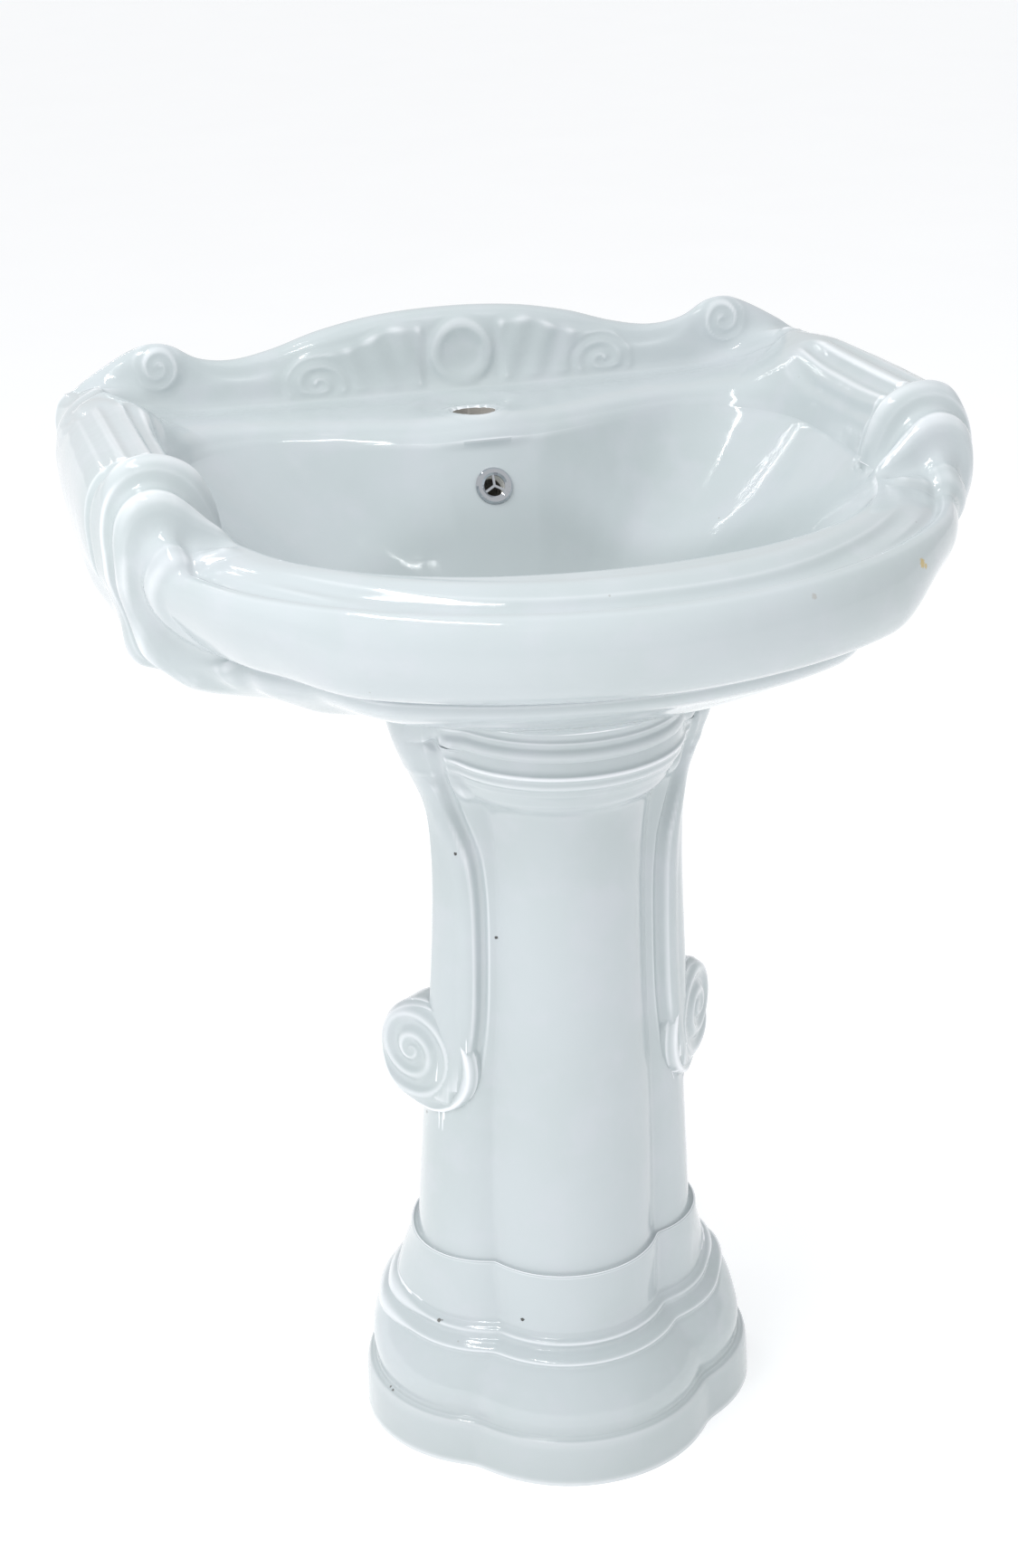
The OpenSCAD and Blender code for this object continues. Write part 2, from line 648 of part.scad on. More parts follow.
// ---- Wall fixings ----------------------------------------------------------
bolt_r = 5;
wood_screw_r = 4;
bush_flange_t = 2;
bolt_washer_t = 2;
bolt_nut_t = 8;
bolt_front_y = wall_pad_y - 20;

module at_bolts() for (side = [-1, 1]) translate([side * fixing_span / 2, 0, fixing_z]) rotate([-90, 0, 0]) children();

module wall_bolts() {
    color(zinc) at_bolts() {
        translate([0, 0, bolt_front_y]) cylinder(r = bolt_r, h = wall_y + 2 - bolt_front_y);
        translate([0, 0, wall_y]) cylinder(r = wood_screw_r, h = wall_end_y - wall_y);
    }
}
module bolt_sleeves() {
    color(plastic) at_bolts() {
        ring(fixing_hole_r - 0.1, bolt_r + 0.1, wall_pad_y - 0.5, 15);
        ring(13, bolt_r + 0.1, wall_pad_y - bush_flange_t, bush_flange_t);
    }
}
module bolt_washers() {
    color(zinc) at_bolts() ring(12, bolt_r + 0.3, wall_pad_y - bush_flange_t - bolt_washer_t, bolt_washer_t);
}
module bolt_nuts() {
    color(zinc) at_bolts()
        hex_ring(8.5, bolt_r + 0.05, wall_pad_y - bush_flange_t - bolt_washer_t - bolt_nut_t, bolt_nut_t);
}

basin();
pedestal();
overflow_ring();
overflow_sleeve();
waste_body();
waste_top_seal();
waste_bottom_seal();
waste_washer();
waste_nut();
click_cartridge();
plug_spring();
plug_stem();
plug_cap();
plug_seal();
trap_inlet_nut();
trap_inlet_washer();
trap_inlet_tube();
trap_neck_nut();
trap_neck_seal();
trap_body();
trap_cup();
trap_cup_seal();
trap_outlet_nut();
trap_outlet_washer();
trap_outlet_pipe();
wall_flange();
wall_bolts();
bolt_sleeves();
bolt_washers();
bolt_nuts();
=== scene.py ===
"""Pedestal sink: the visual model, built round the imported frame.

The two ceramic pieces are swept meshes in millimetres, in the frame's own axes, and are
scaled to metres when they are made. The metal, plastic and rubber pieces are the frame's
own nodes with new materials.
"""

import math

import bpy
import numpy as np
from mathutils import Matrix, Vector


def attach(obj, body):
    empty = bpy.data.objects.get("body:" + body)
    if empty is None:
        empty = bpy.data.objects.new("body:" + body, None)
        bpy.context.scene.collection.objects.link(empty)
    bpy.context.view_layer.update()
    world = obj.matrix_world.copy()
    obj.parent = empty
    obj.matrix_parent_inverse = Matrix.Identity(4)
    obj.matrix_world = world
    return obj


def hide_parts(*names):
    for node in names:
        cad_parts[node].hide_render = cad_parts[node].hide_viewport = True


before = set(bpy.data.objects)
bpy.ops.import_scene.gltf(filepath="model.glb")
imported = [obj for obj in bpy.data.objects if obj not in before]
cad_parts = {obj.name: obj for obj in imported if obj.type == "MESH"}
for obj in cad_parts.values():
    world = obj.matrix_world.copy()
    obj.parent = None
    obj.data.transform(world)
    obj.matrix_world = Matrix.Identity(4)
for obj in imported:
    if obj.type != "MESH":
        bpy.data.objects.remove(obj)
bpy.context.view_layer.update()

MM = 0.001
FIXED_BODY = "basin_and_pedestal"


# ---- Curves ----------------------------------------------------------------

def ease(x, a, b):
    """Rises smoothly from 0 at a to 1 at b."""
    t = np.clip((np.asarray(x, float) - a) / (b - a), 0, 1)
    return t * t * (3 - 2 * t)


def mix(a, b, t):
    return a + (b - a) * t


def bump(x, centre, width):
    """A smooth hill of height 1 at centre that is 0 beyond width on each side."""
    t = np.clip(np.abs(np.asarray(x, float) - centre) / width, 0, 1)
    return (1 - t * t) ** 2


def ridges(x, table):
    """Hills and grooves side by side: table holds (middle, half width, height) of each."""
    return sum(height * bump(x, middle, width) for middle, width, height in table)


def through(knots, x):
    """A smooth value at x through knots [(x, value), ...], level at both ends."""
    k = np.array(knots, float)
    slope = np.zeros(len(k))
    slope[1:-1] = (k[2:, 1] - k[:-2, 1]) / (k[2:, 0] - k[:-2, 0])
    x = np.clip(np.asarray(x, float), k[0, 0], k[-1, 0])
    i = np.clip(np.searchsorted(k[:, 0], x, side="right") - 1, 0, len(k) - 2)
    w = k[i + 1, 0] - k[i, 0]
    t = (x - k[i, 0]) / w
    e = t * t * (3 - 2 * t)
    return mix(k[i, 1], k[i + 1, 1], e) + w * t * (1 - t) * ((1 - t) * slope[i] - t * slope[i + 1])


def smooth_lines(p, n):
    """Smooth lines through p[line, point, axis], with n steps between neighbours."""
    before = np.concatenate([p[:, :1], p[:, :-2]], axis=1)
    after = np.concatenate([p[:, 2:], p[:, -1:]], axis=1)
    a, b, c, d = before, p[:, :-1], p[:, 1:], after
    pieces = []
    for s in range(n):
        t = s / n
        bend = 2 * a - 5 * b + 4 * c - d + t * (3 * b - a - 3 * c + d)
        pieces.append(b + 0.5 * t * (c - a + t * bend))
    lines = np.stack(pieces, axis=2).reshape(p.shape[0], -1, p.shape[2])
    return np.concatenate([lines, p[:, -1:]], axis=1)


def steps(*stretches):
    """Values along several stretches (from, to, step), each end shared with the next start."""
    parts = [np.linspace(a, b, max(1, round((b - a) / d)), endpoint=False) for a, b, d in stretches]
    return np.concatenate(parts + [[stretches[-1][1]]])


# ---- Meshes ----------------------------------------------------------------

def grid_normals(p, closed_rows, closed_columns):
    """Unit normals of a grid of points p[row, column, axis]."""
    def along(axis, closed):
        if closed:
            return np.roll(p, -1, axis) - np.roll(p, 1, axis)
        return np.gradient(p, axis=axis)
    n = np.cross(along(0, closed_rows), along(1, closed_columns))
    return n / np.maximum(np.linalg.norm(n, axis=2, keepdims=True), 1e-9)


def grid_faces(rows, columns, closed_rows, closed_columns):
    r = np.arange(rows if closed_rows else rows - 1)
    c = np.arange(columns if closed_columns else columns - 1)
    a = r[:, None] * columns + c
    b = ((r[:, None] + 1) % rows) * columns + c
    d = r[:, None] * columns + (c + 1) % columns
    e = ((r[:, None] + 1) % rows) * columns + (c + 1) % columns
    return np.stack([a, b, e, d], axis=2).reshape(-1, 4)


def mesh_object(name, points, faces, materials, material_index=None):
    """A smooth-shaded object from points in millimetres and four-sided or three-sided faces."""
    mesh = bpy.data.meshes.new(name)
    mesh.from_pydata((points.reshape(-1, 3) * MM).tolist(), [], [list(f) for f in faces])
    mesh.validate()
    mesh.shade_smooth()
    for m in materials:
        mesh.materials.append(m)
    if material_index is not None:
        mesh.polygons.foreach_set("material_index", material_index.astype(np.int32))
    mesh.update()
    obj = bpy.data.objects.new(name, mesh)
    bpy.context.scene.collection.objects.link(obj)
    return obj


# ---- Basin -----------------------------------------------------------------
# One upright section at each angle from the front, round the waste. A section's points are
# (u, height over the rim), with u from 0 at the bowl's rim to 1 at the outermost point.

RIM_Z = 797
BOWL_DEPTH = 132
FLOOR_Z = RIM_Z - BOWL_DEPTH
CLAY_T = 10
WASTE_Y = -30
WASTE_R = 22.5
SEAT_R = 34
BOSS_R = 36
BOSS_Z = FLOOR_Z - CLAY_T - 18
STAND_Z = 648
OPEN_EDGE_Z = 704
FRONT_REACH = 326
ARM_REACH = 340
WALL_Y = 260
WALL_REACH = WALL_Y - WASTE_Y
CORNER = 180 - math.degrees(math.atan2(ARM_REACH - 8, WALL_REACH))

# Distances from the waste, at angles from the front: the bowl's rim, the outermost point, and the
# edge that stands on the pedestal
RIM_KNOTS = [
    (0, 217), (15, 220), (30, 228), (45, 238), (60, 247), (75, 250), (90, 254), (105, 266),
    (118, 285), (129, 287), (137, 264), (144, 228), (150, 200), (157, 177), (166, 159), (180, 151),
]
ROLL_KNOTS = [
    (0, FRONT_REACH + WASTE_Y), (20, FRONT_REACH + WASTE_Y), (40, 302), (60, 312), (74, 316),
    (82, ARM_REACH - 7), (90, ARM_REACH - 1), (100, ARM_REACH + 6), (110, ARM_REACH + 22),
    (120, ARM_REACH + 50), (CORNER, (ARM_REACH - 8) / math.sin(math.radians(CORNER))), (150, 700),
]
STAND_KNOTS = [(0, 131), (20, 130), (45, 120), (75, 129), (100, 130), (180, 130)]
# Height of the splash-back's crest, at distances from the middle
CREST_KNOTS = [
    (0, 881), (60, 878), (110, 869), (150, 857), (185, 851), (215, 855), (240, 868), (262, 874),
    (285, 871), (308, 861), (332, 844),
]
# The skin, and after it the lining, of the four kinds of section: the front roll, an arm, an arm
# over the open underside, and the wall side
FRONT_SKIN = [
    (0, 0), (0.08, 0.80), (0.30, 0), (0.52, -5), (0.66, -10.50), (0.76, -8.50), (0.86, -10.50),
    (0.95, -20), (1, -35), (0.97, -52), (0.84, -67), (0.60, -75), (0.30, -78), (0.33, -85),
    (0.28, -94), (0.06, -104),
]
ARM_SKIN = [
    (0, 0), (0.02, 6), (0.06, 18), (0.12, 32), (0.22, 44), (0.40, 52), (0.60, 53), (0.80, 46),
    (0.94, 32), (1, 10), (0.98, -17), (0.90, -47), (0.78, -79), (0.60, -95), (0.35, -106), (0.05, -114),
]
OPEN_ARM_SKIN = [
    (0, 0), (0.02, 6), (0.06, 18), (0.12, 32), (0.22, 44), (0.40, 52), (0.60, 53), (0.80, 46),
    (0.94, 32), (1, 10), (0.98, -17), (0.93, -45), (0.88, -65), (0.84, -79), (0.82, -87), (0.81, -91),
]
WALL_SKIN = [
    (0, 0), (0.05, 6), (0.16, 14), (0.45, 18), (0.68, 18), (0.75, 23), (0.79, 38), (0.82, -12),
    (0.86, -3), (0.92, 0), (0.98, -2), (1, -10), (1, 3), (1, -47), (1, -85), (1, -90),
]
CREST_POINTS = slice(7, 12)
FRONT_LINING = [
    (0.02, -96), (0.16, -80), (0.50, -65), (0.78, -54), (0.87, -36), (0.80, -21), (0.60, -19),
    (0.30, -12), (0.20, -11), (0.13, -16),
]
ARM_LINING = [
    (0.10, -103), (0.45, -92), (0.70, -67), (0.86, -17), (0.88, 10), (0.80, 30), (0.60, 41),
    (0.38, 39), (0.22, 28), (0.12, -2),
]
OPEN_ARM_LINING = [
    (0.72, -75), (0.76, -52), (0.82, -32), (0.87, -12), (0.88, 10), (0.80, 30), (0.60, 41), (0.38, 39),
    (0.22, 28), (0.12, -2),
]
WALL_LINING = [
    (0.905, -72), (0.905, -52), (0.905, -32), (0.905, -12), (0.89, 0), (0.80, 3), (0.60, 3),
    (0.25, 2), (0.12, -2), (0.08, -12),
]
# Heights of the last points of a section, where it stands on the pedestal and where it is open
STAND_DROP = (-122, -136, STAND_Z - RIM_Z)
OPEN_DROP = (-91.5, -92.5, OPEN_EDGE_Z - RIM_Z)
# The lining turns to the arm's shape this many degrees after the skin
LINING_LAG = 5


def blended(front, arm, open_arm, wall, a, lag=0):
    """Blends the four section shapes for angles a from the front: [angle, point, axis]."""
    to_arm = ease(a, 70 + lag, 84 + lag)[:, None, None]
    to_open = ease(a, 98, 120)[:, None, None]
    to_wall = ease(a, 120, 142)[:, None, None]
    shape = mix(np.array(front), np.array(arm), to_arm)
    shape = mix(shape, np.array(open_arm), to_open)
    return mix(shape, wall, to_wall)


def outer_r(a):
    """Distance from the waste to the outermost point, at angles from the front."""
    along = np.where(a > 100, -WALL_REACH / np.cos(np.radians(np.maximum(a, 100.1))), 2000)
    return np.minimum(through(ROLL_KNOTS, a), along)


def basin_sections(a, n):
    """Sections [angle, point, (distance from the waste, height)] and where each stretch starts."""
    rim = through(RIM_KNOTS, a)
    reach = outer_r(a) - rim
    opened = ease(a, 98, 120)
    crest = through(CREST_KNOTS, outer_r(a) * np.sin(np.radians(a))) - RIM_Z
    wall = np.repeat(np.array(WALL_SKIN, float)[None], len(a), axis=0)
    wall[:, CREST_POINTS, 1] += crest[:, None]
    uz = blended(FRONT_SKIN, ARM_SKIN, OPEN_ARM_SKIN, wall, a)
    skin = np.stack([rim[:, None] + uz[:, :, 0] * reach[:, None], RIM_Z + uz[:, :, 1]], axis=2)
    edge = mix(through(STAND_KNOTS, a), rim + mix(0.80, 0.995, ease(a, 120, 142)) * reach, opened)
    drops = mix(np.array(STAND_DROP), np.array(OPEN_DROP), opened[:, None])
    under_r = mix(skin[:, -1:, 0], edge[:, None], np.array([0.35, 0.75, 1]))
    under = np.stack([under_r, RIM_Z + drops], axis=2)
    edge_z = RIM_Z + drops[:, 2]
    uz = blended(FRONT_LINING, ARM_LINING, OPEN_ARM_LINING, np.array(WALL_LINING), a, LINING_LAG)
    lining = np.stack([rim[:, None] + uz[:, :, 0] * reach[:, None], RIM_Z + uz[:, :, 1]], axis=2)

    f = np.linspace(0, 1, 60, endpoint=False)
    bowl_w = (rim - SEAT_R)[:, None]
    bowl_z = np.broadcast_to(FLOOR_Z + BOWL_DEPTH * f * f, (len(a), len(f)))
    bowl = np.stack([SEAT_R + f * bowl_w, bowl_z], axis=2)
    outside = smooth_lines(np.concatenate([skin, under], axis=1), n)
    foot_in = np.stack([edge - CLAY_T - 3, edge_z], axis=1)[:, None]
    foot_up = np.stack([edge - CLAY_T - 2, edge_z + CLAY_T], axis=1)[:, None]
    g = np.linspace(0.9, 0.12, 12)
    slope = 2 * BOWL_DEPTH * g / bowl_w
    k = CLAY_T / np.sqrt(1 + slope * slope)
    under_bowl = np.stack([SEAT_R + g * bowl_w + slope * k, FLOOR_Z + BOWL_DEPTH * g * g - k], axis=2)
    inside = [foot_up, mix(foot_up, lining[:, :1], 0.5), lining, under_bowl]
    inside = smooth_lines(np.concatenate(inside, axis=1), 3)
    one = np.ones((len(a), 1, 1))
    start = one * np.array([[WASTE_R, FLOOR_Z]])
    end = one * np.array([[BOSS_R + 1, FLOOR_Z - CLAY_T], [BOSS_R, BOSS_Z], [WASTE_R, BOSS_Z]])
    parts = [start, bowl, outside, foot_in, inside, end]
    starts = np.cumsum([0] + [p.shape[1] for p in parts])
    return np.concatenate(parts, axis=1), starts


def trim(sections, lining, a):
    """Pulls the lining clear of the cuffs' grooves, and draws in the flank of the front corners."""
    near_cuff = (ease(a, 60, 70) * (1 - ease(a, 112, 124)))[:, None]
    sections[:, lining, 0] -= 10 * near_cuff * ease(sections[:, lining, 0], 270, 300)
    sections[:, lining, 1] -= 6 * near_cuff * ease(sections[:, lining, 1], 800, 830)
    front_corner = (ease(a, 40, 58) * (1 - ease(a, 70, 86)))[:, None]
    low = (1 - ease(sections[:, :, 1], 725, 790)) * ease(sections[:, :, 0], 170, 260)
    sections[:, :, 0] -= 18 * front_corner * low


# ---- Basin ornament --------------------------------------------------------
# Each function gives how far the surface stands out, in millimetres, at places (x, y, z).
# Apart from the splash-back's relief, which sits a little to the right, it is the same on
# both sides.

RELIEF_X = 9
MEDALLION_Z = 846
LEAF_TOP = [(28, 872), (60, 873), (90, 862), (115, 857), (135, 853), (154, 840)]
SCROLL_S, SCROLL_Z = 123, 829
ROSETTE_X, ROSETTE_Z = 244, 852
# (middle, half width, height) of the crests and grooves that run across and along each arm
CUFF_CRESTS = [(-58, 13, 7), (-87, 8, 3.5), (-117, 11, 3.5)]
CUFF_GROOVES = [(-76, 8, 4.5), (-101, 9, 4.5), (-38, 9, 3)]
FLUTES = [(280, 8, -4.5), (290, 6, 1.2), (301, 7, -2), (263, 6, -1.6), (317, 7, -1.5)]
COLLAR = [(83, 8, 1.6), (73, 7, -1.2)]
COLLAR_X, COLLAR_Y = 252, 150
# Distance of the roll's groove from the waste, at angles from the front
ROLL_GROOVE = [(0, 264), (29, 268), (42, 270), (58, 275), (68, 287)]


def spiral(along, up, pitch, turns_to):
    """A wave whose crest winds round the middle, pitch apart, and flattens out at turns_to pitches."""
    r = np.hypot(along, up) / pitch
    turn = np.arctan2(up, along) / (2 * np.pi)
    return np.cos(2 * np.pi * (r - turn)) * (1 - ease(r, turns_to - 0.5, turns_to))


def splash_relief(x, z):
    """A round medallion between two ribbed leaves that end in scrolls."""
    s = np.abs(x - RELIEF_X)
    r = np.hypot(s, z - MEDALLION_Z)
    dish = 3.4 * bump(r, 22, 8) - 2 * (1 - ease(r, 6, 18))
    h = 2.2 * (1 - ease(r, 25, 32)) + dish
    top = through(LEAF_TOP, s)
    leaf = ease(s, 29, 38) * (1 - ease(s, 144, 154))
    leaf *= (1 - ease(z, top - 7, top + 1)) * ease(z, 815, 824)
    rib = np.cos(2 * np.pi * (s - 0.37 * (z - 825) - 38) / 25) * (1 - ease(s, 92, 106))
    edge = bump(z, top - 6, 8) * (1 - ease(s, 96, 108))
    scroll = spiral((s - SCROLL_S) / 1.35, z - SCROLL_Z, 11, 2.3)
    return 0.4 * h + leaf * (1.5 + 0.5 * rib + 0.3 * edge + 0.4 * scroll)


def rosettes(x, z):
    along, up = np.abs(x) - ROSETTE_X, z - ROSETTE_Z
    r = np.hypot(along, up)
    return 2.6 * (1 - ease(r, 11, 27)) + 0.4 * spiral(along, up, 10, 2.1)


def cuffs(x, y, z):
    """The rounded bands where each arm meets the front roll."""
    s = np.abs(x)
    across = y - 14 * (1 - ease(z, 745, 795))
    outside = ease(s, 308, 336)
    bands = ridges(across, CUFF_CRESTS) * (1 - 1.1 * outside) - ridges(across, CUFF_GROOVES)
    tuck = 9 * outside * (1 - ease(z, 725, 775)) * ease(across, -150, -120) * (1 - ease(across, 0, 70))
    return bands * ease(s, 238, 256) * ease(z, 690, 706) - tuck


def flutes(x, y, z):
    """Long grooves on the top of each arm, and the collar round their rear end."""
    s = np.abs(x)
    h = ridges(s, FLUTES) * ease(y, -46, -36) * (1 - ease(y, 122, 148))
    r = np.hypot(s - COLLAR_X, y - COLLAR_Y)
    collar = ridges(r, COLLAR) * ease(s, 246, 262) * ease(y, 120, 150)
    return (h + collar * (1 - ease(y, 236, 244))) * ease(z, 815, 828)


def roll_groove(x, y, z):
    """The groove between the bowl's lip and the front roll."""
    r = np.hypot(x, y - WASTE_Y)
    angle = np.degrees(np.arctan2(np.abs(x), WASTE_Y - y))
    line = through(ROLL_GROOVE, angle)
    lip = 1.2 * bump(r, line - 20, 12)
    return (lip - 2.8 * bump(r, line, 9)) * (1 - ease(angle, 48, 62)) * ease(z, 772, 780)


def tap_edge(x, y, z):
    """The deck leans back round the tap hole, and the glaze rolls down into the hole."""
    r = np.hypot(x, y - TAP_Y)
    lean = -0.18 * (y - TAP_Y) * (1 - ease(r, 24, 58)) * ease(y, 104, 126)
    return (lean + 0.6 * bump(r, 24, 8) - 1.8 * (1 - ease(r, TAP_R - 1, TAP_R + 4))) * ease(z, 790, 796)


def underside(x, y, z):
    """The shell hangs fuller below each arm."""
    s = np.abs(x)
    along = ease(y, -170, -120) * (1 - ease(y, 10, 70))
    return 8 * ease(s, 155, 200) * (1 - ease(s, 272, 300)) * (1 - ease(z, 700, 728)) * along


def basin_ornament(p):
    x, y, z = p[:, :, 0], p[:, :, 1], p[:, :, 2]
    on_face = ease(y, 205, 215) * (1 - ease(y, 249, 254)) * ease(z, 812, 822)
    h = on_face * (splash_relief(x, z) + rosettes(x, z))
    for part in (cuffs, flutes, roll_groove, tap_edge, underside):
        h = h + part(x, y, z)
    return h


# ---- Booleans --------------------------------------------------------------

def rod(r, length, place, axis, sides=96):
    """A closed cylinder from place along axis, as points and faces for a cutter or a boss."""
    turn = np.linspace(0, 2 * np.pi, sides, endpoint=False)
    ends = [(r * math.cos(a), r * math.sin(a), h) for h in (0, length) for a in turn]
    look = Vector(axis).to_track_quat("Z", "Y")
    points = np.array([look @ Vector(e) + Vector(place) for e in ends])
    i = np.arange(sides)
    j = (i + 1) % sides
    walls = np.stack([i, j, j + sides, i + sides], axis=1).tolist()
    return points, walls + [i[::-1].tolist(), (i + sides).tolist()]


def combine(obj, shapes, operation, materials):
    """Adds the closed shapes to obj, or cuts them out of it."""
    for points, faces in shapes:
        tool = mesh_object("tool", points, faces, materials)
        step = obj.modifiers.new("step", "BOOLEAN")
        step.operation = operation
        step.solver = "MANIFOLD"
        step.object = tool
        with bpy.context.temp_override(object=obj, active_object=obj):
            bpy.ops.object.modifier_apply(modifier=step.name)
        mesh = tool.data
        bpy.data.objects.remove(tool)
        bpy.data.meshes.remove(mesh)
    obj.data.shade_smooth()
    obj.data.set_sharp_from_angle(angle=math.radians(38))


TAP_R = 17.5
TAP_Y = 161
OVERFLOW_R = 11
OVERFLOW_F = 0.863
REAR_RIM = RIM_KNOTS[-1][1]
OVERFLOW_Y = WASTE_Y + SEAT_R + OVERFLOW_F * (REAR_RIM - SEAT_R)
OVERFLOW_Z = FLOOR_Z + BOWL_DEPTH * OVERFLOW_F ** 2
OVERFLOW_SLOPE = 2 * BOWL_DEPTH * OVERFLOW_F / (REAR_RIM - SEAT_R)
OVERFLOW_AXIS = Vector((0, -OVERFLOW_SLOPE, 1)).normalized()
DUCT_Y = OVERFLOW_Y + 26
DUCT_LOW_Z = BOSS_Z + 11
DECK_PAD_Z = RIM_Z - 2
WALL_PAD_Y = WALL_Y - 16
FIXING_X = 140
FIXING_Z = 735
FIXING_HOLE_R = 7
WALL_PAD_R = 18
TAP_PAD_R = 28
DUCT_BOSS_R, DUCT_R = 17, 10
PASSAGE_BOSS_R, PASSAGE_R = 10, 6


def make_basin(glaze, clay):
    # Closer steps round the cuffs and the rear corners
    half = steps((0, 64, 0.8), (64, 94, 0.25), (94, CORNER, 0.5), (CORNER, 150, 0.3), (150, 180, 0.3))
    a = np.concatenate([half, -half[-2:0:-1]])
    sections, starts = basin_sections(np.abs(a), 10)
    trim(sections, slice(starts[4], starts[5]), np.abs(a))
    turn = np.radians(a)[:, None]
    p = np.stack([
        sections[:, :, 0] * np.sin(turn),
        WASTE_Y - sections[:, :, 0] * np.cos(turn),
        sections[:, :, 1],
    ], axis=2)
    skin = slice(starts[2], starts[3] - 8)
    h = basin_ornament(p[:, skin])
    normal = -grid_normals(p, True, True)[:, skin]
    p[:, skin] += normal * h[:, :, None]
    rows, columns = p.shape[:2]
    faces = grid_faces(rows, columns, True, True)
    column = faces[:, 0] % columns
    raw = (column >= starts[3]) & (column < starts[6])
    basin = mesh_object("basin_glazed", p, faces[:, ::-1], [glaze, clay], raw)
    up, back = (0, 0, 1), (0, 1, 0)
    bosses = [
        rod(DUCT_BOSS_R, OVERFLOW_Z + 14 - DUCT_LOW_Z, (0, DUCT_Y, DUCT_LOW_Z - 8), up),
        rod(PASSAGE_BOSS_R, DUCT_Y - WASTE_Y - 30, (0, WASTE_Y + 30, DUCT_LOW_Z), back),
        rod(TAP_PAD_R, 14, (0, TAP_Y, DECK_PAD_Z), up),
    ]
    overflow_in = Vector((0, OVERFLOW_Y, OVERFLOW_Z)) - 30 * OVERFLOW_AXIS
    holes = [
        rod(TAP_R, 40, (0, TAP_Y, DECK_PAD_Z - 5), up),
        rod(OVERFLOW_R, 40, overflow_in, OVERFLOW_AXIS),
        rod(DUCT_R, OVERFLOW_Z - 4 - DUCT_LOW_Z, (0, DUCT_Y, DUCT_LOW_Z), up),
        rod(PASSAGE_R, DUCT_Y - WASTE_Y - 10, (0, WASTE_Y + 10, DUCT_LOW_Z), back),
    ]
    for x in (-FIXING_X, FIXING_X):
        bosses.append(rod(WALL_PAD_R, WALL_Y - WALL_PAD_Y - 1, (x, WALL_PAD_Y, FIXING_Z), back))
        holes.append(rod(FIXING_HOLE_R, 26, (x, WALL_PAD_Y - 5, FIXING_Z), back))
    combine(basin, bosses, "UNION", [clay])
    # The holes' walls take the dark raw clay, which stands in as painted shade inside the holes
    combine(basin, holes, "DIFFERENCE", [clay])
    return basin


# ---- Pedestal --------------------------------------------------------------
# Each level's outline is a round front lobe and two round side lobes, melted together:
# (height, y of the axis, reach of the front and side lobes, roundness of the front and side lobes)

REAR_ROUNDNESS = 0.8
PEDESTAL_LEVELS = [
    (0, -20, 156, 167, 0.77, 0.66), (34, -20, 154, 165, 0.77, 0.66), (41, -20, 149, 160, 0.77, 0.66),
    (44, -20, 147, 157, 0.77, 0.65), (54, -20, 148, 158, 0.77, 0.65), (64, -20, 146, 157, 0.77, 0.65),
    (76, -20, 139, 152, 0.77, 0.64), (88, -20, 129, 144, 0.76, 0.63), (92, -20, 125, 141, 0.76, 0.62),
    (96, -20, 125, 141, 0.76, 0.62), (100, -20, 119, 135, 0.75, 0.61),
    (103, -20, 114, 131, 0.75, 0.60), (108, -20, 114, 131, 0.74, 0.59),
    (112, -20, 109, 126, 0.74, 0.58), (120, -20, 107, 123, 0.73, 0.56),
    (160, -20, 107, 122, 0.74, 0.54), (167, -20, 106, 121, 0.74, 0.53),
    (171, -21, 100, 116, 0.76, 0.52), (220, -24, 96, 113, 0.80, 0.50), (300, -31, 88, 108, 0.87, 0.47),
    (400, -41, 79, 102, 0.91, 0.44), (500, -45, 79, 98, 0.86, 0.45), (560, -43, 87, 101, 0.82, 0.48),
    (588, -38, 103, 110, 0.78, 0.54), (600, -35, 118, 116, 0.76, 0.58),
    (608, -34, 126, 120, 0.75, 0.60), (616, -34, 126, 122, 0.75, 0.60),
    (624, -34, 119, 120, 0.75, 0.60), (628, -34, 122, 124, 0.75, 0.61),
    (634, -34, 126, 128, 0.75, 0.62), (641, -34, 125, 128, 0.75, 0.63), (648, -34, 127, 128, 0.76, 0.64),
]
SHELL_T = 11
WRAP = 135
LOBE_SHARPNESS = 60


def lobe_r(reach, roundness, along, across):
    r = reach * roundness
    c = reach - r
    return c * along + np.sqrt(np.maximum(r * r - c * c * across * across, 0))


def outline(levels, a):
    """Distances from the axis, [level, angle], for angles a from the front."""
    c, s = np.cos(np.radians(a)), np.sin(np.radians(np.abs(a)))
    front, side, front_roundness, side_roundness = (levels[:, i:i + 1] for i in range(2, 6))
    f = np.where(np.abs(a) < 90, lobe_r(front, front_roundness, c, s), 1)
    side_roundness = np.where(np.abs(a) < 90, side_roundness, REAR_ROUNDNESS)
    on_side = np.abs(c) * (1 - side_roundness) < side_roundness
    g = np.where(on_side, lobe_r(side, side_roundness, s, c), 1)
    return g * ((f / g) ** LOBE_SHARPNESS + 1) ** (1 / LOBE_SHARPNESS)


# The S-shaped band on each side lobe runs from the basin down to the volute: how far its front
# edge is from the middle, and the y of its rear edge, at heights
BAND_EDGE = [
    (296, 106), (308, 96), (327, 87), (370, 79), (410, 76), (488, 75), (526, 78), (541, 82),
    (562, 89), (581, 95), (601, 102), (633, 109), (648, 111),
]
BAND_REAR = [(296, -30), (420, -46), (560, -50), (610, -38), (648, -30)]
SWAG_FROM, SWAG_TO = 596, 648


